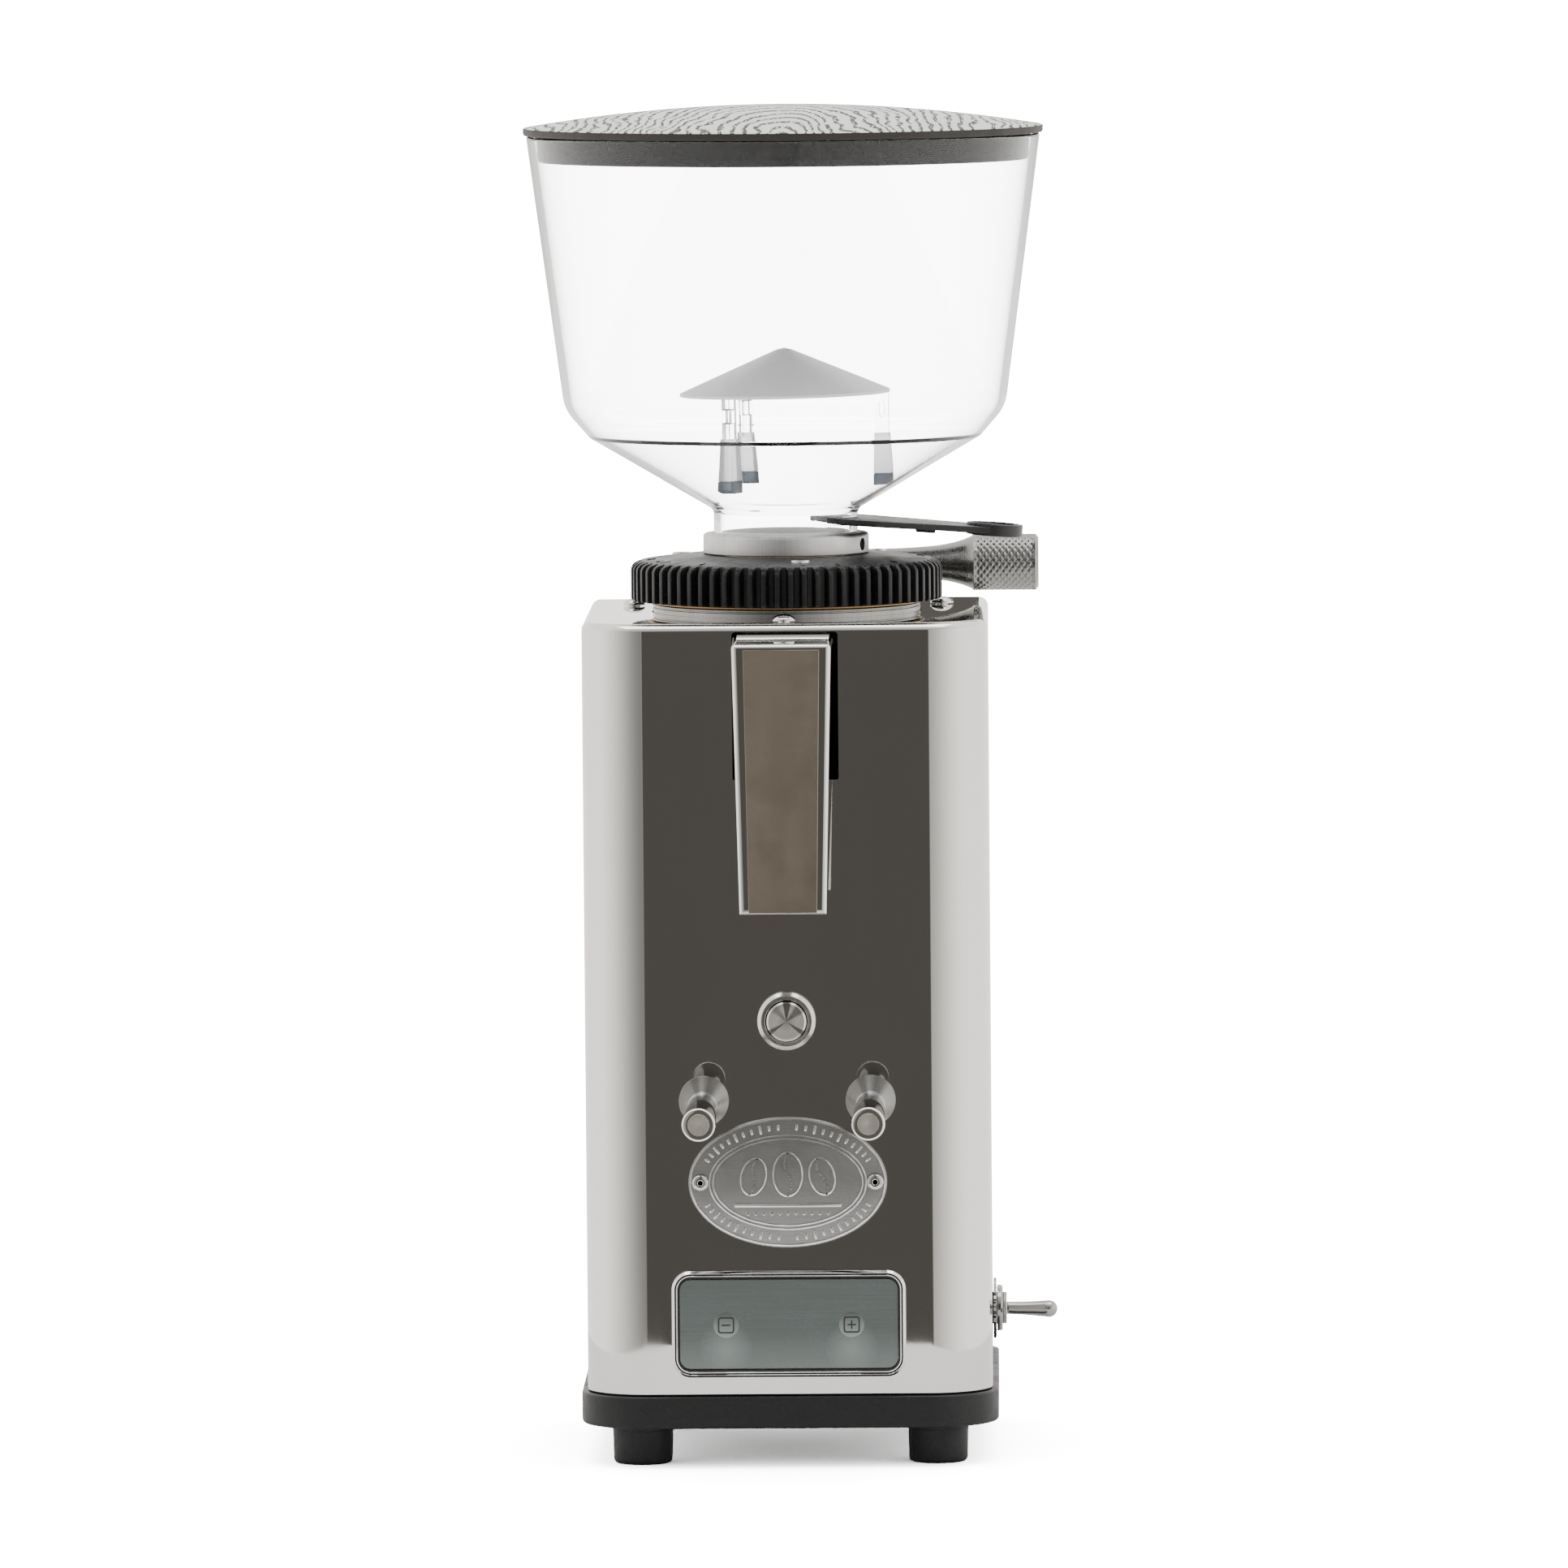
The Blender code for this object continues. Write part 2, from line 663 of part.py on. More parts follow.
def make_gear():
    gear = extruded("adjusting_gear", [gear_outline()], GEAR_BOTTOM, GEAR_TOP + 1 * MM, "black_plastic")
    envelope = turned(
        "gear_envelope",
        [
            (28 * MM, GEAR_TOP),
            (37 * MM, 301.4 * MM),
            (48.0 * MM, 300.0 * MM),
            (50.4 * MM, 299.0 * MM),
            (GEAR_TIP_RADIUS + 0.2 * MM, 297.4 * MM),
            (GEAR_TIP_RADIUS + 0.2 * MM, GEAR_BOTTOM - 1 * MM),
            (GEAR_BORE, GEAR_BOTTOM - 1 * MM),
            (GEAR_BORE, GEAR_TOP),
        ],
        steps=72,
        ring=True,
    )
    combine(gear, [envelope], "INTERSECT")


def worm_thread():
    """The worm's single thread, about X. It crosses the gear's side of the worm at x = 0."""
    steps_per_turn = 12
    start = -WORM_LEAD * WORM_TURNS / 2
    root = WORM_ROOT_RADIUS - 0.5 * MM
    root_half = 1.45 * MM
    tip_half = 0.45 * MM
    corners = [(-root_half, root), (-tip_half, WORM_TIP_RADIUS), (tip_half, WORM_TIP_RADIUS), (root_half, root)]
    bm = bmesh.new()
    section = bm.faces.new([bm.verts.new((start + along, -radius, 0)) for along, radius in corners])
    bmesh.ops.spin(
        bm,
        geom=[*bm.verts, *bm.edges, section],
        cent=(0, 0, 0),
        axis=(1, 0, 0),
        dvec=(WORM_LEAD / steps_per_turn, 0, 0),
        angle=2 * math.pi * WORM_TURNS,
        steps=steps_per_turn * WORM_TURNS,
    )
    bmesh.ops.holes_fill(bm, edges=bm.edges)
    return mesh_from(bm, "worm_thread")


def make_grind_knob(axle):
    worm_half = 10.5 * MM
    profile = [
        (0, KNOB_END),
        (KNOB_RADIUS - 1.2 * MM, KNOB_END),
        (KNOB_RADIUS, KNOB_END - 1.2 * MM),
        (KNOB_RADIUS, KNOB_START),
        (8.75 * MM, KNOB_START - 0.5 * MM),
        (5.75 * MM, 49.5 * MM),
        (4.8 * MM, 33 * MM),
        (4.3 * MM, 24 * MM),
        (JOURNAL_RADIUS, 21 * MM),
        (JOURNAL_RADIUS, worm_half),
        (WORM_ROOT_RADIUS, worm_half),
        (WORM_ROOT_RADIUS, -worm_half),
        (JOURNAL_RADIUS, -worm_half),
        (JOURNAL_RADIUS, -22 * MM),
        (0, -22 * MM),
    ]
    knob = turned("grind_knob", profile, "satin_steel", MEDIUM, rotation=FACING_RIGHT, parent=axle)
    join(knob, place("worm_thread", worm_thread(), None, parent=axle))


def make_worm_bearings(axle):
    reach = WORM_BEARING_X + 10 * MM
    where = {"steps": SMALL, "rotation": FACING_RIGHT, "parent": axle}
    bore = rod("worm_bearing_bore", JOURNAL_RADIUS + GAP, -reach, reach, **where)
    half_length = 3 * MM
    half_depth = 6.1 * MM
    for side, x in (("left", -WORM_BEARING_X), ("right", WORM_BEARING_X)):
        bearing = box(
            f"worm_bearing_{side}",
            (x - half_length, WORM_Y - half_depth, HOUSING_TOP + GAP),
            (x + half_length, WORM_Y + half_depth, WORM_Z + 7.3 * MM),
            "satin_aluminium",
        )
        round_edges(bearing, 1.2 * MM, 1)
        cut(bearing, bore)


# Hopper


def make_collar():
    chamfer = 1.2 * MM
    seat = NECK_BOTTOM - GAP
    profile = [
        (COLLAR_RADIUS - chamfer, COLLAR_TOP),
        (COLLAR_RADIUS, COLLAR_TOP - chamfer),
        (COLLAR_RADIUS, COLLAR_BOTTOM),
        (21 * MM, COLLAR_BOTTOM),
        (21 * MM, seat),
        (NECK_RADIUS + GAP, seat),
        (NECK_RADIUS + GAP, COLLAR_TOP),
    ]
    collar = turned("hopper_collar", profile, "satin_aluminium", LARGE, ring=True)
    where = {"location": (0, 0, 305.3 * MM), "rotation": (0, math.pi / 2, math.radians(68 - 90))}
    outside = COLLAR_RADIUS + 3 * MM
    screw_start = NECK_RADIUS + 0.5 * MM
    screw_end = COLLAR_RADIUS - 0.8 * MM
    cut(collar, rod("collar_screw_hole", 2.1 * MM, NECK_RADIUS - 3 * MM, outside, steps=SMALL, **where))
    screw = rod("collar_set_screw", 1.75 * MM, screw_start, screw_end, "black_plastic", SMALL, **where)
    cut(screw, extruded("set_screw_socket", [hexagon(0.9 * MM)], screw_end - 1.5 * MM, outside, **where))


def hopper_profile():
    """The wall's outer side down to the neck, and its inner side back up to the rim."""
    corner = 9.5 * MM
    outer = [HOPPER_RIM, HOPPER_SIDE_LOW]
    for i in range(1, 5):
        blend = i / 5
        drop = (HOPPER_SIDE_LOW[1] - CONE_HIGH[1]) * blend
        pull = (HOPPER_SIDE_LOW[0] - CONE_HIGH[0]) * (1 - math.sqrt(1 - (drop / corner) ** 2))
        outer.append((HOPPER_SIDE_LOW[0] - pull, HOPPER_SIDE_LOW[1] - drop))
    outer += [CONE_HIGH, CONE_LOW, (NECK_RADIUS, 315.5 * MM), (NECK_RADIUS, NECK_BOTTOM)]
    lift = HOPPER_WALL * 1.16
    inner = [
        (NECK_RADIUS - HOPPER_WALL, NECK_BOTTOM),
        (NECK_RADIUS - HOPPER_WALL, 317.9 * MM),
        (CONE_HIGH[0] - 1.2 * MM, CONE_HIGH[1] + lift - 0.7 * MM),
        (HOPPER_SIDE_LOW[0] - HOPPER_WALL - 1.6 * MM, HOPPER_SIDE_LOW[1] - 2.4 * MM),
        (HOPPER_SIDE_LOW[0] - HOPPER_WALL, HOPPER_SIDE_LOW[1] + 1 * MM),
        (HOPPER_RIM[0] - HOPPER_WALL, HOPPER_RIM[1]),
    ]
    return outer + inner


def make_hopper(gate_plane):
    hopper = turned("hopper", hopper_profile(), "clear_plastic", LARGE, ring=True)
    half = GATE_THICKNESS / 2 + 0.35 * MM
    half_width = GATE_HALF_WIDTH + 0.4 * MM
    outside = NECK_RADIUS + 10.2 * MM
    slot = box("gate_slot", (8 * MM, -half_width, -half), (outside, half_width, half), parent=gate_plane)
    tab_low = (12 * MM, -3 * MM, -half - 1.9 * MM)
    notch = box("gate_notch", tab_low, (outside, 3 * MM, 0), parent=gate_plane)
    cut(hopper, slot, notch)


def make_gate(gate_plane):
    """The shutter: a plate with a round nose that narrows to a thumb disc, lying pulled out."""
    disc_half = 8.8 * MM
    neck = (59 * MM, 12 * MM)
    shoulder = (30 * MM, GATE_HALF_WIDTH)
    reach = math.sqrt(GATE_NOSE_RADIUS**2 - GATE_HALF_WIDTH**2)
    edge_angle = math.degrees(math.atan2(GATE_HALF_WIDTH, -reach))
    outline = [(GATE_DISC_X, -disc_half), (GATE_DISC_X, disc_half), neck, shoulder]
    outline += arc((GATE_TRAVEL, 0), GATE_NOSE_RADIUS, edge_angle, 360 - edge_angle, 12)
    outline += [(shoulder[0], -shoulder[1]), (neck[0], -neck[1])]
    half = GATE_THICKNESS / 2
    gate = extruded("gate_lever", [outline], -half, half, "black_plastic", parent=gate_plane)
    where = {"location": (GATE_DISC_X, 0, 0), "parent": gate_plane}
    disc = rod("gate_disc", GATE_DISC_RADIUS, -2 * half, 2 * half, **where)
    tab_low = (43 * MM, -2.5 * MM, -half - 1.6 * MM)
    tab = box("gate_tab", tab_low, (49.6 * MM, 2.5 * MM, 0), parent=gate_plane)
    join(gate, disc, tab)


def make_guard():
    thickness = 2.0 * MM
    rim_height = 1.2 * MM
    guard = turned(
        "bean_guard",
        [
            (0, GUARD_TIP),
            (3 * MM, GUARD_TIP - 0.6 * MM),
            (GUARD_RADIUS, GUARD_RIM),
            (GUARD_RADIUS, GUARD_RIM - rim_height),
            (GUARD_RADIUS - 1.5 * MM, GUARD_RIM - rim_height),
            (0, GUARD_TIP - 1.2 * thickness),
        ],
        "clear_plastic",
        MEDIUM,
    )
    foot = 326.0 * MM
    step = 341.0 * MM
    narrow = 2.85 * MM
    wide = 4.2 * MM
    half_thickness = 1.3 * MM
    left = [(-narrow, GUARD_RIM), (-narrow, step), (-wide, foot)]
    outline = left + [(-x, height) for x, height in reversed(left)]
    for i in range(3):
        turn = 2 * math.pi * i / 3
        # The outline's x runs round the guard and its y runs up.
        inner = LEG_RADIUS - half_thickness
        leg = extruded(f"guard_leg_{i}", [outline], inner, inner + 2 * half_thickness)
        leg.rotation_euler = (math.pi / 2, 0, turn + math.pi / 2)
        join(guard, leg)


def lid_dome():
    """The lid's upper surface from its middle to its edge, a shallow bowl shape."""
    rise = LID_TOP - LID_EDGE
    parts = [i / 8 for i in range(9)]
    return [(LID_RADIUS * part, LID_EDGE + rise * (1 - part**2)) for part in parts]


def make_lid():
    turned("lid", lid_dome() + [(LID_RADIUS, LID_BOTTOM), (0, LID_BOTTOM)], "veneer", LARGE)
    top = LID_BOTTOM - GAP
    bottom = 431.7 * MM
    inside = 78.6 * MM
    plate = 2.4 * MM
    profile = [
        (0, top),
        (81.6 * MM, top),
        (81.0 * MM, bottom),
        (inside, bottom),
        (inside, top - plate),
        (0, top - plate),
    ]
    turned("lid_insert", profile, "black_plastic", LARGE)


# Front panel


def chute_prism(name, side, narrowing, finish=None):
    """The chute's solid from its side outline of (reach in front of the face, height) points. It is
    wider at the top than at the outlet, and a little wider at the housing than at the front."""
    bm = bmesh.new()
    left = [bm.verts.new((-1, FRONT - reach, height)) for reach, height in side]
    face = bm.faces.new(left)
    bmesh.ops.extrude_face_region(bm, geom=[face])
    bm.verts.ensure_lookup_table()
    for i, vertex in enumerate(bm.verts):
        rise = (vertex.co.z - CHUTE_OUTLET) / (CHUTE_TOP - CHUTE_OUTLET)
        set_back = 1 + (vertex.co.y - FRONT) / CHUTE_REACH
        half_width = 14 * MM + 2 * MM * rise + 1.3 * MM * set_back - narrowing
        vertex.co.x = -half_width if i < len(side) else half_width
    bmesh.ops.recalc_face_normals(bm, faces=bm.faces)
    return place(name, mesh_from(bm, name), finish)


def make_chute():
    inside = -4.5 * MM  # how far the chute reaches back into the housing
    outer = [
        (inside, CHUTE_TOP),
        (CHUTE_REACH, CHUTE_TOP),
        (CHUTE_REACH, CHUTE_OUTLET),
        (CHUTE_REACH - 15 * MM, CHUTE_OUTLET),
        (1 * MM, CHUTE_UNDERSIDE),
        (inside, CHUTE_UNDERSIDE),
    ]
    chute = round_edges(chute_prism("chute", outer, 0, "polished_steel"), 1.6 * MM)
    wall = CHUTE_SHEET
    inner = [
        (inside - 10 * MM, CHUTE_TOP - wall),
        (CHUTE_REACH - wall, CHUTE_TOP - wall),
        (CHUTE_REACH - wall, CHUTE_OUTLET - 8 * MM),
        (CHUTE_REACH - 13.7 * MM, CHUTE_OUTLET - 8 * MM),
        (CHUTE_REACH - 13.7 * MM, CHUTE_OUTLET + 0.4 * MM),
        (2 * MM, CHUTE_UNDERSIDE + wall),
        (inside - 10 * MM, CHUTE_UNDERSIDE + wall),
    ]
    cut(chute, chute_prism("chute_void", inner, wall))


def make_button():
    button = pivot("button_axis", (0, FRONT, BUTTON_Z), FACING_FRONT)
    bore = 6.9 * MM
    bezel = [
        (8.3 * MM, 3.4 * MM),
        (9.5 * MM, 2.4 * MM),
        (9.5 * MM, GAP),
        (7.7 * MM, GAP),
        (7.7 * MM, -8 * MM),
        (bore, -8 * MM),
        (bore, 3.4 * MM),
    ]
    turned("button_bezel", bezel, "satin_steel", ring=True, parent=button)
    cap = [(0, 5.2 * MM), (5.7 * MM, 5.0 * MM), (6.5 * MM, 4.4 * MM), (6.5 * MM, -3 * MM), (0, -3 * MM)]
    turned("button_cap", cap, "satin_steel", parent=button)
    rod("button_switch", 7.7 * MM, -14 * MM, -8 * MM - GAP, "black_plastic", parent=button)


def make_fork():
    edge = 1.7 * MM
    start = CONE_LENGTH + GAP
    thread_radius = 1.8 * MM
    thread_length = 10 * MM
    for side, x in (("left", -FORK_X), ("right", FORK_X)):
        where = {"location": (x, FRONT, FORK_Z), "rotation": FACING_FRONT}
        cone = [
            (0, CONE_LENGTH),
            (4.7 * MM, CONE_LENGTH),
            (8.15 * MM, GAP + 1 * MM),
            (8.15 * MM, GAP),
            (STUD_RADIUS, GAP),
            (STUD_RADIUS, -9 * MM),
            (0, -9 * MM),
        ]
        bottom = start - thread_length - 0.8 * MM
        socket = rod(f"fork_socket_{side}", thread_radius + GAP, bottom, start + edge, steps=SMALL, **where)
        cut(turned(f"fork_cone_{side}", cone, "satin_steel", **where), socket)
        pin = [(0, PIN_TIP)]
        pin += arc((5.4 * MM - edge, PIN_TIP - edge), edge, 90, 0, 3)
        pin += [(4.6 * MM, start), (thread_radius, start)]
        pin += [(thread_radius, start - thread_length), (0, start - thread_length)]
        turned(f"fork_pin_{side}", pin, "polished_steel", **where)
        hexagonal = [hexagon(5.6 * MM)]
        nut = extruded(f"fork_nut_{side}", hexagonal, -6.8 * MM, -SHEET - GAP, "satin_steel", **where)
        cut(nut, rod(f"fork_nut_hole_{side}", STUD_RADIUS + GAP, -20 * MM, 5 * MM, steps=SMALL, **where))


def make_badge():
    thickness = 1.2 * MM
    top = GAP + thickness
    where = {"location": (0, FRONT, BADGE_Z), "rotation": FACING_FRONT}
    oval = ellipse(BADGE_HALF_WIDTH, BADGE_HALF_HEIGHT, 48)
    badge = extruded("badge", [oval], GAP, top, "badge_metal", **where)
    for side, x in (("left", -RIVET_X), ("right", RIVET_X)):
        spot = {"location": (x, FRONT, BADGE_Z), "rotation": FACING_FRONT}
        cut(badge, rod(f"badge_hole_{side}", RIVET_HOLE_RADIUS, -5 * MM, 5 * MM, steps=SMALL, **spot))
        head = top + GAP
        profile = [
            (2.2 * MM, head + 0.8 * MM),
            (2.8 * MM, head),
            (1.3 * MM, head),
            (1.3 * MM, -2.2 * MM),
            (0.8 * MM, -2.2 * MM),
            (0.8 * MM, head + 0.8 * MM),
        ]
        turned(f"badge_rivet_{side}", profile, "satin_steel", SMALL, ring=True, **spot)


def make_display():
    where = {"location": (0, FRONT, DISPLAY_Z), "rotation": FACING_FRONT}
    outer = rounded_outline(76.4 * MM, 34.9 * MM, 5.5 * MM, 5.5 * MM, 4)
    inner = rounded_outline(72.0 * MM, 29.9 * MM, 3.8 * MM, 3.8 * MM, 4)
    pane = rounded_outline(71.4 * MM, 29.3 * MM, 3.5 * MM, 3.5 * MM, 4)
    extruded("display_frame", [outer, inner], GAP, 3.0 * MM, "polished_steel", **where)
    extruded("display_glass", [pane], GAP, 2.4 * MM, "display_glass", **where)
    board = rounded_outline(66 * MM, 26 * MM, 1 * MM, 1 * MM, 2)
    extruded("display_board", [board], -4.2 * MM, -2.6 * MM, "circuit_board", **where)


# Side switch and cord inlet


def make_toggle():
    where = {"location": (0, TOGGLE_Y, TOGGLE_Z), "rotation": FACING_RIGHT}
    bushing_end = 71.2 * MM
    nut = [
        (7.2 * MM, 69.8 * MM),
        (7.6 * MM, 69.4 * MM),
        (7.6 * MM, 67.8 * MM),
        (10.0 * MM, 67.8 * MM),
        (10.0 * MM, SIDE + GAP),
        (BUSHING_RADIUS + GAP, SIDE + GAP),
        (BUSHING_RADIUS + GAP, 69.8 * MM),
    ]
    turned("toggle_nut", nut, "satin_steel", ring=True, **where)
    body = box(
        "toggle_body",
        (40 * MM, TOGGLE_Y - 6.5 * MM, TOGGLE_Z - 9 * MM),
        (SIDE - SHEET - GAP, TOGGLE_Y + 6.5 * MM, TOGGLE_Z + 9 * MM),
        "satin_steel",
    )
    join(body, rod("toggle_bushing", BUSHING_RADIUS, 60 * MM, bushing_end, **where))
    mouth = [
        (0, bushing_end + 1 * MM),
        (4.9 * MM, bushing_end + 1 * MM),
        (3.1 * MM, TOGGLE_PIVOT_X),
        (3.1 * MM, TOGGLE_PIVOT_X - 3.2 * MM),
        (0, TOGGLE_PIVOT_X - 3.2 * MM),
    ]
    cut(body, turned("toggle_mouth", mouth, None, **where))
    bat = pivot("toggle_pivot", (TOGGLE_PIVOT_X, TOGGLE_Y, TOGGLE_Z), (0, 0, TOGGLE_TILT))
    tip_radius = 2.85 * MM
    tip = (TOGGLE_TIP - TOGGLE_PIVOT_X - tip_radius) / math.cos(TOGGLE_TILT)
    lever = [(0, tip + tip_radius)]
    lever += arc((0, tip), tip_radius, 67.5, 0, 3)
    lever += [(2.05 * MM, 2 * MM)]
    lever += [(2.6 * MM, 0), (1.8 * MM, -1.9 * MM), (0, -2.6 * MM)]
    turned("toggle_lever", lever, "polished_steel", SMALL, rotation=FACING_RIGHT, parent=bat)


def make_gland():
    profile = [
        (5.0 * MM, 11 * MM),
        (6.4 * MM, 4 * MM),
        (9.0 * MM, 3.4 * MM),
        (9.0 * MM, GAP),
        (6.2 * MM, GAP),
        (6.2 * MM, -9 * MM),
        (3.6 * MM, -9 * MM),
        (3.6 * MM, 11 * MM),
    ]
    where = {"location": (GLAND_X, REAR, GLAND_Z), "rotation": FACING_REAR}
    turned("cord_gland", profile, "black_plastic", ring=True, **where)


# Motor and electrics


def make_motor():
    bell_wall = 46 * MM
    boss = 17 * MM
    seat = BEARING_RADIUS + GAP
    top_bell = [
        (MOTOR_RADIUS, CHAMBER_BOTTOM - GAP),
        (MOTOR_RADIUS, 188.3 * MM),
        (bell_wall, 188.3 * MM),
        (bell_wall, 213 * MM),
        (boss, 213 * MM),
        (boss, 203.5 * MM),
        (seat, 203.5 * MM),
        (seat, CHAMBER_BOTTOM - GAP),
    ]
    turned("motor_bell_top", top_bell, "cast_aluminium", ring=True)
    bottom_bell = [
        (MOTOR_RADIUS, 131.7 * MM),
        (MOTOR_RADIUS, 104 * MM),
        (seat, 104 * MM),
        (seat, 118 * MM),
        (boss, 118 * MM),
        (boss, 109 * MM),
        (bell_wall, 109 * MM),
        (bell_wall, 131.7 * MM),
    ]
    turned("motor_bell_bottom", bottom_bell, "cast_aluminium", ring=True)
    tube("stator", MOTOR_RADIUS, 30 * MM, 132 * MM, 188 * MM, "motor_steel")
    tube("rotor", 29.5 * MM, SHAFT_RADIUS + GAP, 130 * MM, 190 * MM, "motor_steel")
    tube("bearing_top", BEARING_RADIUS, SHAFT_RADIUS + GAP, 204 * MM, 213 * MM, "burr_steel")
    tube("bearing_bottom", BEARING_RADIUS, SHAFT_RADIUS + GAP, 108 * MM, 117 * MM, "burr_steel")
    shaft = [
        (0, 258.5 * MM),
        (4.6 * MM, 258.5 * MM),
        (5.0 * MM, 258 * MM),
        (5.0 * MM, 241 * MM),
        (SHAFT_RADIUS, 240 * MM),
        (SHAFT_RADIUS, 88 * MM),
        (0, 88 * MM),
    ]
    turned("motor_shaft", shaft, "burr_steel")
    nut = extruded("shaft_nut", [hexagon(9 * MM)], BURR_FLOOR, 257 * MM, "satin_steel")
    cut(nut, rod("shaft_nut_hole", 5.3 * MM, 240 * MM, 270 * MM))


def tube(name, outer, inner, low, high, finish):
    return turned(name, [(outer, high), (outer, low), (inner, low), (inner, high)], finish, ring=True)


def make_fan():
    fan = tube("cooling_fan", 11 * MM, SHAFT_RADIUS + GAP, 90 * MM, 101 * MM, "black_plastic")
    count = 7
    root = (9 * MM, -1 * MM, 91 * MM)
    tip = (42 * MM, 1 * MM, 100 * MM)
    join(fan, boxes("fan_blades", [(root, tip, 2 * math.pi * i / count) for i in range(count)]))


def make_electrics():
    edge = 1.5 * MM
    radius = 14 * MM
    top = 186 * MM
    bottom = 118 * MM
    can = [(0, top), (radius - edge, top), (radius, top - edge), (radius, bottom), (0, bottom)]
    turned("capacitor", can, "satin_aluminium", SMALL, location=(-48 * MM, 51 * MM, 0))
    board_top = BOARD_LEVEL + 1.6 * MM
    sunk = board_top - 1 * MM
    half_width = 48 * MM
    half_depth = 44 * MM
    low = (-half_width, -half_depth, BOARD_LEVEL)
    board = box("control_board", low, (half_width, half_depth, board_top), "circuit_board")
    transformer = ((-40 * MM, 10 * MM, sunk), (-8 * MM, 38 * MM, board_top + 22 * MM), 0)
    relay = ((2 * MM, 12 * MM, sunk), (21 * MM, 28 * MM, board_top + 15 * MM), 0)
    connector = ((-34 * MM, -30 * MM, sunk), (-20 * MM, -20 * MM, board_top + 10 * MM), 0)
    controller = ((-8 * MM, -26 * MM, sunk), (14 * MM, -14 * MM, board_top + 4 * MM), 0)
    join(board, boxes("board_parts", [transformer, relay, connector, controller]))


def build():
    make_housing()
    make_base()
    make_feet()
    make_chamber()
    make_chamber_screws()
    make_burrs()
    make_upper_carrier()
    make_gear()
    worm_axle = pivot("worm_axle", (0, WORM_Y, WORM_Z))
    make_grind_knob(worm_axle)
    make_worm_bearings(worm_axle)
    make_collar()
    gate_plane = pivot("gate_plane", (0, 0, GATE_HEIGHT), (0, GATE_DROOP, 0))
    make_hopper(gate_plane)
    make_gate(gate_plane)
    make_guard()
    make_lid()
    make_chute()
    make_button()
    make_fork()
    make_badge()
    make_display()
    make_toggle()
    make_gland()
    make_motor()
    make_fan()
    make_electrics()


build()
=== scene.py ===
"""Looks of the burr coffee grinder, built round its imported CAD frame.

Shapes are drawn in millimetres from the body axis, the upright line that the burrs turn about, with
+Z up and the front facing -Y. piece() carries them to the frame, in metres.
"""

import math

import bmesh
import bpy
import numpy as np
from mathutils import Matrix, Quaternion, Vector


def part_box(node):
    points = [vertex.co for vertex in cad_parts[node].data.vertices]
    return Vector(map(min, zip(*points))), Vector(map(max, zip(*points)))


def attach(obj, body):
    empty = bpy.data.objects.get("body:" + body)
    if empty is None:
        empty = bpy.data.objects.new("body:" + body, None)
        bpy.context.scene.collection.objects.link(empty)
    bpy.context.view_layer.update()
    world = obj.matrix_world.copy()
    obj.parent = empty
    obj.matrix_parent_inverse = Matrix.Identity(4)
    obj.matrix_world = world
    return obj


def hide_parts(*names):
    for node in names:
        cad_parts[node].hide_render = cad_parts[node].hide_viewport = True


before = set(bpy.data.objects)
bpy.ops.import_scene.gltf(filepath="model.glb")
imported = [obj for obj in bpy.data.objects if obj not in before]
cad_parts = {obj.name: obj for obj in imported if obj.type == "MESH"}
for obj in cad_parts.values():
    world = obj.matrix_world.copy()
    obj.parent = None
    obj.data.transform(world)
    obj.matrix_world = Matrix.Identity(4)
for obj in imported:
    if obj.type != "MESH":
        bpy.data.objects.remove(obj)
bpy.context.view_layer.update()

MM = 0.001


def middle(node):
    """The middle of the node's box in the frame, in metres."""
    low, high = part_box(node)
    return (low + high) / 2


# The gear is round about the body axis. Heights are counted from a datum 283 mm under the housing's
# top, a little below the table.
AXIS = Vector((middle("adjusting_gear").x, middle("adjusting_gear").y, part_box("housing")[1].z - 283 * MM))


def span(node):
    """The node's box in millimetres from the body axis."""
    low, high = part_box(node)
    return (low - AXIS) / MM, (high - AXIS) / MM


def place(node):
    """The middle of the node's box in millimetres from the body axis."""
    return (middle(node) - AXIS) / MM


HOUSING_LOW, HOUSING_HIGH = span("housing")
FRONT, REAR, SIDE = HOUSING_LOW.y, HOUSING_HIGH.y, HOUSING_HIGH.x
HOUSING_BOTTOM, HOUSING_TOP = HOUSING_LOW.z, HOUSING_HIGH.z
SHEET = 1.5
FRONT_CORNER = 20.5
REAR_CORNER = 3.5
GEAR_LOW, GEAR_HIGH = span("adjusting_gear")
BUTTON_Z = place("button_cap").z
FORK_X, FORK_Z = place("fork_pin_right").x, place("fork_pin_right").z
BADGE_Z = place("badge").z
RIVET_X = place("badge_rivet_right").x
DISPLAY_Z = place("display_frame").z
KEY_X = 20.5
TOGGLE_Y, TOGGLE_Z = place("toggle_nut").y, place("toggle_nut").z
GLAND = place("cord_gland").x, place("cord_gland").z
CHUTE_TOP = span("chute")[1].z + 1.2
SCREWS = {end: place(f"chamber_screw_{end}").xy for end in ("front", "rear_right", "rear_left")}
WORM_Y = place("worm_bearing_left").y
WORM_Z = 295.0
KNOB_START = 61.5
KNOB_END = span("grind_knob")[1].x
TEETH = 72
LEG_REACH = 31.9
BODY_MIDDLE = tuple(AXIS / MM)
DATUM = AXIS.z / MM
PANEL_HALF = 0.050  # half the flat part of the front panel, in metres
ROOM = 6.0  # reach of the floor and the room, in metres
ROUND = 128  # facets round a large turned piece
FINE = 64  # facets round a small one


# Shapes


def at(x, y, z=0):
    return Matrix.Translation((x, y, z))


def spin(degrees, axis="Z"):
    return Matrix.Rotation(math.radians(degrees), 4, axis)


def on_front(x, z):
    """Places a shape's own origin on the front panel, with its +Z facing the front."""
    return at(x, FRONT, z) @ spin(90, "X")


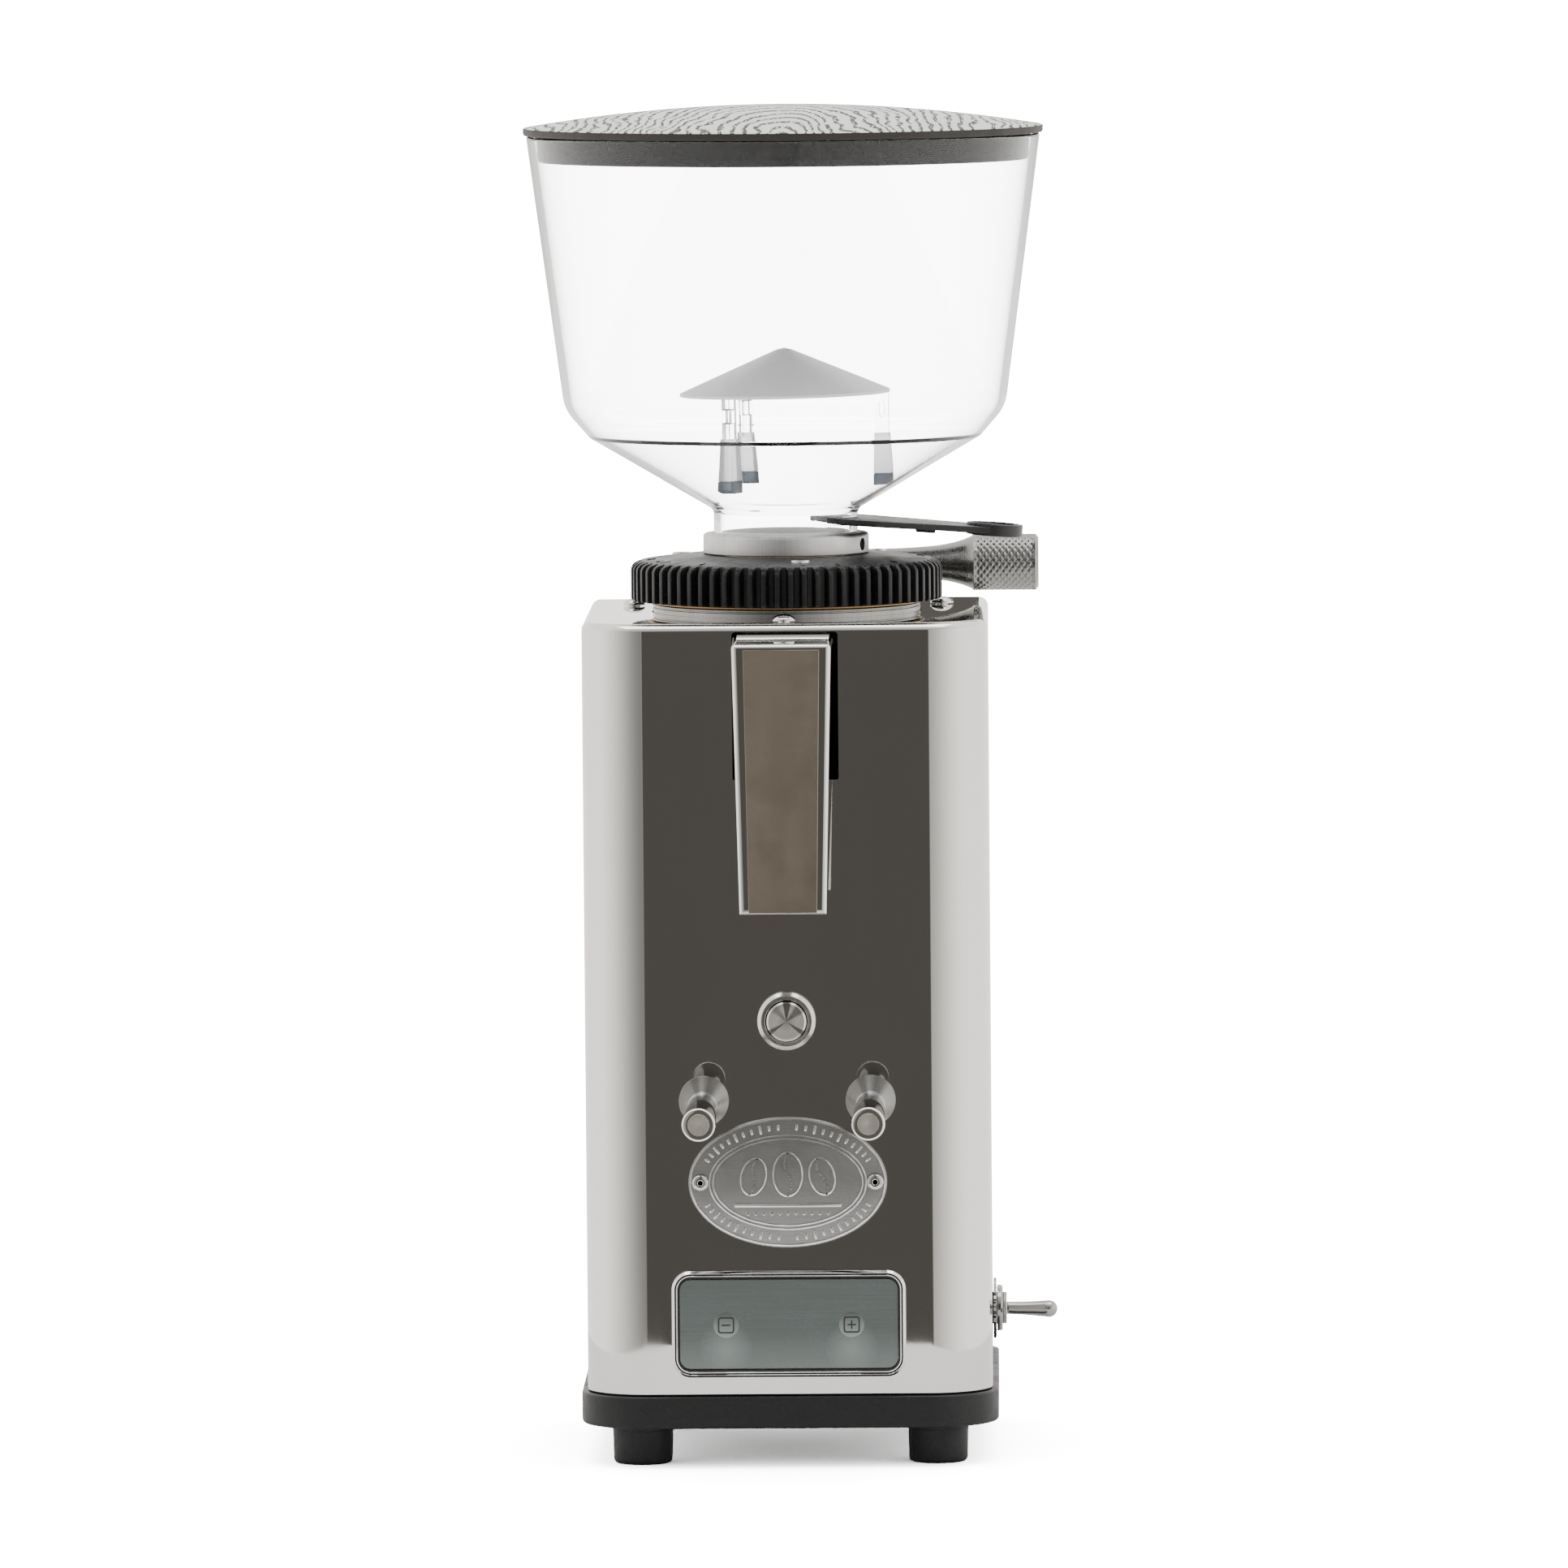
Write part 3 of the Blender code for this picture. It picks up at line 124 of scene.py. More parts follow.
def on_right(y, z, x=0):
    return at(x, y, z) @ spin(90, "Y")


def on_rear(x, z):
    return at(x, REAR, z) @ spin(-90, "X")


def softened(points, radius, steps=4, closed=True):
    """The outline with its corners rounded. A point may carry its own radius as a third number."""
    result = []
    count = len(points)
    for i, point in enumerate(points):
        here = Vector(point[:2])
        own = point[2] if len(point) > 2 else radius
        if own == 0 or (not closed and i in (0, count - 1)):
            result.append((here.x, here.y))
            continue
        back = Vector(points[i - 1][:2]) - here
        on = Vector(points[(i + 1) % count][:2]) - here
        turn = math.pi - back.angle(on)
        if turn < math.radians(8):
            result.append((here.x, here.y))
            continue
        reach = min(own * math.tan(turn / 2), 0.45 * back.length, 0.45 * on.length)
        start = here + back.normalized() * reach
        end = here + on.normalized() * reach
        for k in range(steps + 1):
            t = k / steps
            spot = start * (1 - t) ** 2 + here * 2 * t * (1 - t) + end * t**2
            result.append((spot.x, spot.y))
    return result


def rings_joined(bm, rings, closed):
    pairs = list(zip(rings, rings[1:]))
    if closed:
        pairs.append((rings[-1], rings[0]))
    for first, second in pairs:
        count = max(len(first), len(second))
        if count == 1:
            continue
        for i in range(count):
            corners = [first[i % len(first)], first[(i + 1) % len(first)]]
            corners += [second[(i + 1) % len(second)], second[i % len(second)]]
            unique = list(dict.fromkeys(corners))
            bm.faces.new(unique)
    bmesh.ops.recalc_face_normals(bm, faces=bm.faces)
    return bm


def turned(profile, steps=ROUND, closed=False, shape=None):
    """A lathe shape about +Z from (radius, height) points. shape may alter the radius round the axis."""
    bm = bmesh.new()
    rings = []
    for radius, height in profile:
        if radius < 1e-4:
            rings.append([bm.verts.new((0, 0, height))])
            continue
        ring = []
        for i in range(steps):
            angle = 2 * math.pi * i / steps
            r = shape(radius, height, angle) if shape else radius
            ring.append(bm.verts.new((r * math.cos(angle), r * math.sin(angle), height)))
        rings.append(ring)
    return rings_joined(bm, rings, closed)


def lathe(points, radius=0.3, steps=ROUND, ring=False):
    """A lathe shape with every corner of its profile rounded."""
    return turned(softened(points, radius, closed=ring), steps, ring)


def ellipse(half_width, half_height, steps=96):
    turns = [2 * math.pi * i / steps for i in range(steps)]
    return [(half_width * math.cos(turn), half_height * math.sin(turn)) for turn in turns]


def rounded_rectangle(x0, x1, y0, y1, low_radius, high_radius, steps):
    """Corner arcs of a rectangle, with one radius on its low-y side and one on its high-y side."""
    corners = (
        (x0 + low_radius, y0 + low_radius, low_radius, 180),
        (x1 - low_radius, y0 + low_radius, low_radius, 270),
        (x1 - high_radius, y1 - high_radius, high_radius, 0),
        (x0 + high_radius, y1 - high_radius, high_radius, 90),
    )
    outline = []
    for x, y, radius, start in corners:
        for i in range(steps + 1):
            angle = math.radians(start + 90 * i / steps)
            outline.append((x + radius * math.cos(angle), y + radius * math.sin(angle)))
    return outline


def slab(outline_at, low, high, low_round=0.0, high_round=0.0, steps=4):
    """A prism whose lower and upper edges are rounded. outline_at(inset) is its outline."""
    levels = []
    for i in range(steps + 1 if low_round else 1):
        angle = math.pi / 2 * i / steps
        levels.append((low_round * (1 - math.sin(angle)), low + low_round * (1 - math.cos(angle))))
    for i in range(steps + 1 if high_round else 1):
        angle = math.pi / 2 * i / steps
        levels.append((high_round * (1 - math.cos(angle)), high - high_round * (1 - math.sin(angle))))
    bm = bmesh.new()
    rings = [[bm.verts.new((x, y, height)) for x, y in outline_at(inset)] for inset, height in levels]
    bm.faces.new(rings[0])
    bm.faces.new(rings[-1])
    return rings_joined(bm, rings, False)


def swept(outline_at, section):
    """A closed band round an outline. Its section is given as (inset from the outline, height)."""
    bm = bmesh.new()
    rings = [[bm.verts.new((x, y, height)) for x, y in outline_at(inset)] for inset, height in section]
    return rings_joined(bm, rings, True)


def oblong(half_width, half_height, radius, steps=6):
    sides = (-half_width, half_width, -half_height, half_height)
    return rounded_rectangle(*sides, radius, radius, steps)


def plain_slab(outline, low, high):
    return slab(lambda inset: outline, low, high)


def box(low, high):
    (x0, y0, z0), (x1, y1, z1) = low, high
    return plain_slab([(x0, y0), (x1, y0), (x1, y1), (x0, y1)], z0, z1)


def rod(radius, low, high, steps=FINE):
    return turned([(0, low), (radius, low), (radius, high), (0, high)], steps)


def moved(bm, matrix):
    bm.transform(matrix)
    return bm


def as_mesh(bm, name):
    mesh = bpy.data.meshes.new(name)
    bm.to_mesh(mesh)
    bm.free()
    return mesh


def in_scene(name, data):
    obj = bpy.data.objects.new(name, data)
    bpy.context.scene.collection.objects.link(obj)
    return obj


def with_modifiers(obj, helpers=()):
    """The object's shape after its modifiers, as a new bmesh. The object and its helpers go."""
    graph = bpy.context.evaluated_depsgraph_get()
    mesh = bpy.data.meshes.new_from_object(obj.evaluated_get(graph))
    bm = bmesh.new()
    bm.from_mesh(mesh)
    bpy.data.meshes.remove(mesh)
    for each in (obj, *helpers):
        old = each.data
        bpy.data.objects.remove(each)
        bpy.data.meshes.remove(old)
    return bm


def combined(bm, others, operation="DIFFERENCE"):
    obj = in_scene("solid", as_mesh(bm, "solid"))
    helpers = [in_scene("tool", as_mesh(other, "tool")) for other in others]
    for helper in helpers:
        boolean = obj.modifiers.new("combine", "BOOLEAN")
        boolean.operation = operation
        boolean.object = helper
        boolean.solver = "EXACT"
    return with_modifiers(obj, helpers)


def bevelled(bm, width, segments=3, angle=35):
    obj = in_scene("solid", as_mesh(bm, "solid"))
    bevel = obj.modifiers.new("bevel", "BEVEL")
    bevel.width = width
    bevel.segments = segments
    bevel.limit_method = "ANGLE"
    bevel.angle_limit = math.radians(angle)
    return with_modifiers(obj)


def gathered(shapes):
    """Several shapes as one mesh. They may cross each other."""
    whole = bmesh.new()
    for bm in shapes:
        mesh = as_mesh(bm, "part")
        whole.from_mesh(mesh)
        bpy.data.meshes.remove(mesh)
    return whole


def piece(name, bm, look, *nodes, body="body", flat=False):
    """Puts a finished shape in the scene, riding on its body and standing for its CAD nodes."""
    bmesh.ops.remove_doubles(bm, verts=bm.verts, dist=1e-4)
    bmesh.ops.recalc_face_normals(bm, faces=bm.faces)
    bm.transform(Matrix.Translation(AXIS) @ Matrix.Scale(MM, 4))
    mesh = as_mesh(bm, name)
    mesh.shade_smooth()
    mesh.set_sharp_from_angle(angle=math.radians(32))
    mesh.materials.append(look)
    obj = in_scene(name, mesh)
    if flat:  # keeps wide flat faces flat where they meet a rounded edge
        weighted = obj.modifiers.new("flat_faces", "WEIGHTED_NORMAL")
        weighted.keep_sharp = True
        weighted.weight = 100
    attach(obj, body)
    if nodes:
        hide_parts(*nodes)
    return obj


# Materials


def shaded(colour, share):
    return tuple(part * share for part in colour)


class Nodes:
    """A node tree, with short names for the sums that the looks are made of."""

    def __init__(self, owner):
        owner.use_nodes = True
        self.tree = owner.node_tree

    def node(self, kind, **settings):
        made = self.tree.nodes.new(kind)
        for name, value in settings.items():
            setattr(made, name, value)
        return made

    def put(self, socket, value):
        if isinstance(value, bpy.types.NodeSocket):
            self.tree.links.new(value, socket)
        else:
            socket.default_value = value

    def filled(self, made, values, first=0):
        """Fills a node's inputs in turn, from the first on, and gives its outputs."""
        for socket, value in zip(made.inputs[first:], values):
            self.put(socket, value)
        return made.outputs

    def maths(self, operation, *values):
        return self.filled(self.node("ShaderNodeMath", operation=operation), values)[0]

    def plus(self, first, second):
        return self.maths("ADD", first, second)

    def minus(self, first, second):
        return self.maths("SUBTRACT", first, second)

    def times(self, first, second):
        return self.maths("MULTIPLY", first, second)

    def length(self, across, up):
        return self.maths("SQRT", self.plus(self.times(across, across), self.times(up, up)))

    def split(self, vector):
        return self.filled(self.node("ShaderNodeSeparateXYZ"), [vector])

    def joined(self, x, y, z):
        return self.filled(self.node("ShaderNodeCombineXYZ"), (x, y, z))[0]

    def spread(self, value, low, high, to_low=0.0, to_high=1.0):
        """The value's range from low to high carried to another range, and held at its ends."""
        return self.filled(self.node("ShaderNodeMapRange"), (value, low, high, to_low, to_high))[0]

    def mixed(self, share, first, second):
        """Two numbers mixed by a share."""
        made = self.node("ShaderNodeMix", data_type="FLOAT")
        self.put(made.inputs["Factor"], share)
        return self.filled(made, (first, second), 2)[0]

    def blended(self, share, first, second):
        """Two colours mixed by a share."""
        made = self.node("ShaderNodeMix", data_type="RGBA")
        self.put(made.inputs["Factor"], share)
        return self.filled(made, (first, second), 6)[2]

    def seen_directly(self):
        """1 for what the camera sees, straight or through clear plastic, and 0 for what only gives light."""
        path = self.node("ShaderNodeLightPath").outputs
        bounces = self.plus(path["Diffuse Depth"], path["Glossy Depth"])
        through = self.times(path["Is Transmission Ray"], self.maths("LESS_THAN", bounces, 0.5))
        return self.maths("MAXIMUM", path["Is Camera Ray"], through)


class Look(Nodes):
    """A Principled material whose colour, roughness and bump come from patterns in the object's space.

    Patterns are measured in millimetres. tint, gloss and relief may each be called several times. A
    pattern takes hold between its low and its high value, by up to a given share.
    """

    def __init__(self, name, colour, roughness, metallic=0.0, **sockets):
        self.material = bpy.data.materials.new(name)
        super().__init__(self.material)
        self.shader = self.tree.nodes["Principled BSDF"]
        self.shader.inputs["Metallic"].default_value = metallic
        for socket, value in sockets.items():
            self.shader.inputs[socket.replace("_", " ")].default_value = value
        self.colour = (*colour, 1)
        self.roughness = roughness
        self.normal = None
        metres = self.node("ShaderNodeTexCoord").outputs["Object"]
        self.place = self.vector("DIVIDE", metres, MM)

    def vector(self, operation, first, second):
        """A sum of two vectors. A single second number stands for three equal ones."""
        second = second if hasattr(second, "__len__") else (second,) * 3
        return self.filled(self.node("ShaderNodeVectorMath", operation=operation), (first, second))[0]

    def noise(self, grain, detail=3.0, distortion=0.0, place=None):
        """Noise from 0 to 1 whose lumps are about grain millimetres long along X, Y and Z."""
        made = self.node("ShaderNodeTexNoise")
        made.inputs["Scale"].default_value = 1
        made.inputs["Detail"].default_value = detail
        made.inputs["Distortion"].default_value = distortion
        self.put(made.inputs["Vector"], self.vector("DIVIDE", place or self.place, grain))
        return made.outputs["Fac"]

    def cells(self, grain):
        """Distance from the middle of the nearest of many scattered spots, in spot widths."""
        made = self.node("ShaderNodeTexVoronoi")
        made.inputs["Scale"].default_value = 1
        self.put(made.inputs["Vector"], self.vector("DIVIDE", self.place, grain))
        return made.outputs["Distance"]

    def polar(self, axis, centre):
        """(angle over pi, distance from the axis, height along it), in millimetres."""
        x, y, z = self.split(self.vector("SUBTRACT", self.place, centre))
        across, up, along = {"Z": (x, y, z), "Y": (x, z, y), "X": (y, z, x)}[axis]
        angle = self.maths("DIVIDE", self.maths("ARCTAN2", up, across), math.pi)
        return angle, self.length(across, up), along

    def tint(self, colour, pattern, low=0, high=1, most=1):
        share = self.spread(pattern, low, high, 0, most)
        self.colour = self.blended(share, self.colour, (*colour, 1))
        return self

    def gloss(self, roughness, pattern, low=0, high=1, most=1):
        share = self.spread(pattern, low, high, 0, most)
        self.roughness = self.mixed(share, self.roughness, roughness)
        return self

    def relief(self, height, depth):
        """Raises the surface by depth millimetres where the height pattern is 1."""
        made = self.node("ShaderNodeBump")
        made.inputs["Distance"].default_value = depth * MM
        self.put(made.inputs["Height"], height)
        if self.normal is not None:
            self.put(made.inputs["Normal"], self.normal)
        self.normal = made.outputs[0]
        return self

    def done(self):
        self.put(self.shader.inputs["Base Color"], self.colour)
        self.put(self.shader.inputs["Roughness"], self.roughness)
        if self.normal is not None:
            self.put(self.shader.inputs["Normal"], self.normal)
        return self.material


def polished(name, colour, roughness):
    """Mirror-polished sheet steel, with slight waves, wiping marks and hairline scratches."""
    look = Look(name, colour, roughness, 1.0)
    smears = look.spread(look.noise((28, 28, 60), 4, 1.2), 0.45, 0.75)
    look.gloss(roughness + 0.03, smears)
    look.gloss(roughness + 0.06, look.noise(0.7, 2), 0.66, 0.8)
    look.gloss(roughness + 0.04, look.noise((0.16, 0.16, 14), 2, 0.3), 0.66, 0.74)
    look.tint(shaded(colour, 0.93), smears, most=0.25)
    look.relief(look.noise((60, 60, 110), 1), 0.03)
    return look.done()


def lathe_turned(name, colour, roughness, centre, axis="Z", pitch=0.12, depth=0.002, streaks=0.3):
    """Machined metal whose tool marks run round its axis, with fine streaks along it."""
    look = Look(name, colour, roughness, 1.0)
    angle, distance, along = look.polar(axis, centre)
    rings = look.noise((1, pitch, pitch), 3, place=look.joined(0, distance, along))
    runs = look.noise((0.006, 25, 25), 3, place=look.joined(angle, distance, along))
    patches = look.noise(6, 3, 0.5)
    look.tint(shaded(colour, 0.62), runs, 0.35, 0.7, streaks)
    look.tint(shaded(colour, 0.75), rings, 0.45, 0.7, 0.3)
    look.gloss(roughness + 0.1, patches, 0.35, 0.7)
    look.gloss(roughness * 0.7, rings, 0.5, 0.75, 0.6)
    look.relief(rings, depth)
    return look.done()


def paint_shine_wedges(look, angle, wedges, colour):
    """Paints the dark wedges of spun metal's reflection into its colour, each by angle over pi, half width,
    softness, darkness.
    """
    for middle_angle, half, soft, depth in wedges:
        off = look.maths("ABSOLUTE", look.minus(angle, middle_angle))
        # painted reflection: a dark wedge of shine drawn into the colour
        look.tint(shaded(colour, 0.1), look.spread(off, half, half + soft, depth, 0))


def turned_smooth(name, colour, roughness, centre):
    """Finely turned metal with a soft shine, its tool marks too fine to see apart, and dark wedges of
    reflection painted into its colour.
    """
    look = Look(name, colour, roughness, 1.0, Anisotropic=0.5)
    tangent = look.node("ShaderNodeTangent", direction_type="RADIAL", axis="Y")
    look.put(look.shader.inputs["Tangent"], tangent.outputs[0])
    angle, distance, along = look.polar("Y", centre)
    # painted reflection: dark wedges of shine round the axis, drawn into the colour
    paint_shine_wedges(look, angle, CONE_PAINTED_SHINE, colour)
    rings = look.noise((1, 0.5, 0.5), 2, place=look.joined(0, distance, along))
    patches = look.noise(5, 2, 0.5)
    look.tint(shaded(colour, 0.6), rings, 0.35, 0.7, 0.16)
    look.gloss(roughness + 0.06, patches, 0.35, 0.7)
    look.relief(patches, 0.004)
    return look.done()


def spun_cap(name, colour, centre):
    """The push button's face: spun metal, whose wedges of shine are painted into its colour as dark wedges
    that meet at its middle.
    """
    look = Look(name, colour, 0.3, 1.0)
    angle, distance, along = look.polar("Y", centre)
    edge = look.noise((5, 0.25, 0.25), 2, place=look.joined(angle, distance, along))
    angle = look.plus(angle, look.spread(edge, 0, 1, -0.012, 0.012))
    # painted reflection: the dark wedges of the spun face's shine
    paint_shine_wedges(look, angle, SPUN_PAINTED_SHINE, colour)
    look.tint(shaded(colour, 0.3), look.spread(distance, 0.3, 2.6, 0.5, 0))
    look.gloss(0.38, edge, 0.4, 0.7)
    look.relief(edge, 0.001)
    return look.done()


def cast(name, colour, roughness):
    """Bead-blasted casting."""
    look = Look(name, colour, roughness, 1.0)
    grains = look.noise(0.35, 3)
    blotches = look.noise(9, 4, 0.6)
    look.tint(shaded(colour, 0.72), blotches, 0.4, 0.7, 0.5)
    look.gloss(roughness + 0.18, grains, 0.4, 0.7)
    look.relief(grains, 0.05)
    return look.done()


def brushed(name, colour, roughness, grain, depth=0.004, contrast=0.55):
    """Metal with straight brush marks, long along one axis as grain says."""
    look = Look(name, colour, roughness, 1.0)
    lines = look.noise(grain, 4)
    patches = look.noise(12, 3)
    look.tint(shaded(colour, 0.68), lines, 0.4, 0.7, contrast)
    look.gloss(roughness + 0.12, lines, 0.4, 0.7, min(2 * contrast, 1))
    look.gloss(roughness * 0.75, patches, 0.5, 0.8, 0.5)
    look.relief(lines, depth)
    return look.done()


def moulded(name, colour, roughness, grain, depth, wear, shine=0.3):
    """Dark moulded plastic or rubber with a fine etched grain, dust and paler rubbed patches."""
    look = Look(name, colour, roughness, Specular_IOR_Level=shine)
    look.tint(wear, look.noise((5, 5, 3), 5, 1.0), 0.58, 0.75, 0.35)
    look.tint((0.30, 0.29, 0.28), look.noise(0.5, 2), 0.68, 0.78, 0.08)
    look.gloss(min(roughness + 0.16, 1), look.noise(14, 4, 0.8), 0.35, 0.7)
    look.relief(look.cells(grain), depth)
    return look.done()


def clear_plastic(name, roughness, bend):
    """Clear moulded plastic, with faint flow lines and handling marks."""
    look = Look(name, (0.99, 0.993, 1.0), roughness, 0.0, Transmission_Weight=1.0, IOR=bend)
    look.gloss(0.03, look.noise((16, 16, 26), 5, 1.4), 0.52, 0.8)
    look.gloss(0.06, look.noise((0.15, 6, 4), 2, 0.4), 0.68, 0.74)
    look.relief(look.noise((22, 22, 34), 1), 0.03)
    return look.done()


def frosted(name, colour, roughness, clearness):
    """Milky moulded plastic that scatters what shines through it."""
    look = Look(name, colour, roughness, 0.0, Transmission_Weight=clearness, IOR=1.46)
    cloud = look.noise((24, 24, 30), 2, 0.4)
    grains = look.noise(0.3, 2)
    look.tint(shaded(colour, 0.9), cloud, 0.3, 0.75, 0.15)
    look.gloss(roughness + 0.1, cloud, 0.35, 0.7, 0.5)
    look.relief(grains, 0.002)
    return look.done()


def veneer():
    """Pale limed oak: growth rings cut slantwise into long arches, with dark open pores along them."""
    look = Look("veneer", (0.62, 0.62, 0.60), 0.5)
    x, y, _ = look.split(look.vector("SUBTRACT", look.place, BODY_MIDDLE))
    across = look.plus(x, look.spread(look.noise((26, 60, 26), 3, 0.4), 0, 1, -11, 11))
    ring = look.length(across, look.maths("MULTIPLY_ADD", y, 0.34, 34))
    ring = look.plus(ring, look.spread(look.noise((3, 9, 3)), 0, 1, -0.5, 0.5))
    phase = look.maths("FRACT", look.maths("DIVIDE", ring, 3.4))
    band = look.spread(look.maths("ABSOLUTE", look.minus(phase, 0.5)), 0.15, 0.21, 1, 0)
    pores = look.times(band, look.spread(look.noise((0.8, 3.0, 0.8), 3, 0.3), 0.40, 0.46))
    fibres = look.noise((0.18, 9, 0.18))
    look.tint((0.50, 0.50, 0.485), look.noise((20, 34, 20)), 0.35, 0.7, 0.4)
    look.tint((0.40, 0.395, 0.38), fibres, 0.45, 0.75, 0.5)
    look.tint((0.022, 0.021, 0.019), pores, most=0.97)
    look.gloss(0.85, pores).gloss(0.62, fibres, 0.4, 0.7)
    look.relief(look.minus(1, pores), 0.12).relief(fibres, 0.02)
    return look.done()


def glass_face():
    """The key panel: grey-green glass over a finely lined film, paler low down and round its keys."""
    look = Look("display_glass", (0.072, 0.090, 0.084), 0.3, 0.0, Coat_Weight=0.15, Coat_Roughness=0.06)
    x, _, z = look.split(look.vector("SUBTRACT", look.place, (BODY_MIDDLE[0], 0, DATUM + DISPLAY_Z)))
    lines = look.noise((30, 3, 0.16))
    clouds = look.noise((30, 4, 14), 2, 0.4)
    look.tint((0.155, 0.18, 0.17), look.spread(z, -14, -2, 0.75, 0))
    look.tint((0.115, 0.138, 0.13), lines, 0.38, 0.7, 0.4)
    look.tint((0.12, 0.14, 0.132), clouds, 0.45, 0.8, 0.3)
    for key_x in (-KEY_X, KEY_X):
        away = look.length(look.minus(x, key_x), look.plus(z, 8))
        look.tint((0.27, 0.31, 0.295), look.spread(away, 1, 9, 0.45, 0))
    look.gloss(0.26, clouds, 0.4, 0.7)
    look.relief(lines, 0.002)
    return look.done()


def key_light():
    """A key's round window in the film, with painted shade: dark above and pale below, as a dimple under a
    lamp looks.
    """
    look = Look("key_light", (0.05, 0.062, 0.058), 0.35)
    _, _, z = look.split(look.vector("SUBTRACT", look.place, (0, 0, DATUM + DISPLAY_Z)))
    dots = look.noise(0.25, 2)
    # painted shade: paler towards the bottom of the window, darker towards the top
    look.tint((0.27, 0.31, 0.285), look.spread(z, -4.4, 3.8, 0.95, 0))
    look.tint((0.10, 0.11, 0.105), dots, 0.4, 0.7, 0.15)
    look.gloss(0.5, dots, 0.4, 0.7)
    look.relief(dots, 0.002)
    return look.done()


def circuit_board():
    look = Look("circuit_board", (0.02, 0.12, 0.05), 0.42)
    weave = look.noise(0.5, 2)
    tracks = look.spread(look.cells((3.2, 1.1, 40)), 0.10, 0.16)
    look.tint((0.05, 0.22, 0.10), look.minus(1, tracks))
    look.tint((0.01, 0.06, 0.03), weave, 0.4, 0.7, 0.3)
    look.gloss(0.6, weave, 0.4, 0.7)
    look.relief(tracks, 0.03)
    return look.done()


def burr():
    """Ground and hardened steel, blued unevenly."""
    look = Look("burr_steel", (0.42, 0.42, 0.43), 0.24, 1.0)
    lines = look.noise((6, 0.2, 0.2), 4)
    temper = look.noise(11, 3, 0.6)
    look.tint((0.30, 0.27, 0.22), temper, 0.4, 0.75, 0.5)
    look.gloss(0.38, lines, 0.4, 0.7)
    look.relief(lines, 0.006)
    return look.done()


def motor_steel():
    """A stack of thin laminations, varnished."""
    look = Look("motor_steel", (0.20, 0.205, 0.215), 0.42, 1.0)
    _, _, z = look.split(look.place)
    layer = look.minus(look.maths("FRACT", look.maths("DIVIDE", z, 0.8)), 0.5)
    varnish = look.noise(7, 4, 0.8)
    look.tint((0.10, 0.06, 0.035), varnish, 0.45, 0.7, 0.6)
    look.gloss(0.28, varnish, 0.4, 0.7)
    look.relief(look.spread(look.maths("ABSOLUTE", layer), 0.38, 0.5), 0.05)
    return look.done()


def printed(name, colour, roughness):
    """Thin printed or lit film under the glass."""
    look = Look(name, colour, roughness)
    dots = look.noise(0.25, 2)
    look.tint(shaded(colour, 0.7), dots, 0.4, 0.7, 0.35)
    look.gloss(roughness + 0.15, dots, 0.4, 0.7)
    look.relief(dots, 0.004)
    return look.done()


# Dark wedges of reflection painted into the colour of the fork's cones and the button's face, as the wedge
# painter above takes them.
CONE_PAINTED_SHINE = ((0.36, 0.06, 0.10, 0.75), (0.62, 0.03, 0.06, 0.6), (-0.22, 0.05, 0.14, 0.6))
CONE_PAINTED_SHINE += ((-0.72, 0.04, 0.12, 0.75),)
SPUN_PAINTED_SHINE = ((0.49, 0.055, 0.03, 0.86), (0.245, 0.06, 0.06, 0.7), (0.72, 0.03, 0.09, 0.55))
SPUN_PAINTED_SHINE += ((-0.19, 0.03, 0.02, 0.8), (-0.82, 0.03, 0.02, 0.8))
WORM_AXIS = (BODY_MIDDLE[0], BODY_MIDDLE[1] + WORM_Y, DATUM + WORM_Z)
BUTTON_AXIS = (BODY_MIDDLE[0], 0, DATUM + BUTTON_Z)
POLISHED = polished("polished_steel", (0.66, 0.65, 0.625), 0.018)
# Painted reflection: the fork's rods and end caps are one polished steel, given a dark colour on the rods for
# the dark aisle they mirror and a bright one on the caps as a painted highlight.
PIN_STEEL_PAINTED_DARK = polished("pin_steel_painted_dark", (0.17, 0.15, 0.13), 0.05)
CAP_STEEL_PAINTED_BRIGHT = polished("cap_steel_painted_bright", (0.86, 0.84, 0.80), 0.03)
LEVER_STEEL = polished("lever_steel", (0.36, 0.355, 0.34), 0.1)
BRIGHT_TRIM = polished("bright_trim", (0.95, 0.945, 0.93), 0.015)
NUT_STEEL = polished("nut_steel", (0.33, 0.325, 0.31), 0.12)
SATIN_BRIGHT = polished("screw_steel", (0.62, 0.615, 0.60), 0.07)
# Painted reflection: the chute face's warm brown colour stands in for a warm reflection, not the steel's own
# colour.
CHUTE_FACE_PAINTED_REFLECTION = brushed("chute_face", (0.61, 0.535, 0.43), 0.22, (9, 9, 60), 0.0, 0.12)
TIP_STEEL = brushed("tip_steel", (0.60, 0.57, 0.52), 0.34, (3, 9, 3), 0.0, 0.3)
SATIN_STEEL = brushed("satin_steel", (0.52, 0.52, 0.51), 0.27, (0.3, 0.3, 6))
SATIN_ALUMINIUM = brushed("satin_aluminium", (0.58, 0.58, 0.57), 0.34, (6, 0.3, 0.3))
BADGE_METAL = brushed("badge_metal", (0.29, 0.29, 0.285), 0.34, (9, 9, 0.22), 0.002)
BADGE_EDGE = brushed("badge_raised", (0.85, 0.85, 0.83), 0.16, (9, 9, 0.3), 0.001)
BRASS = lathe_turned("brass", (0.34, 0.22, 0.10), 0.35, BODY_MIDDLE)
RING_METAL = lathe_turned("chamber_ring", (0.27, 0.268, 0.26), 0.22, BODY_MIDDLE, "Z", 0.5, 0.001, 0.25)
COLLAR_METAL = lathe_turned("collar_aluminium", (0.56, 0.56, 0.555), 0.38, BODY_MIDDLE, streaks=0.35)
BUTTON_STEEL = lathe_turned("button_steel", (0.60, 0.595, 0.575), 0.16, BUTTON_AXIS, "Y", 0.1, 0.001, 0.2)
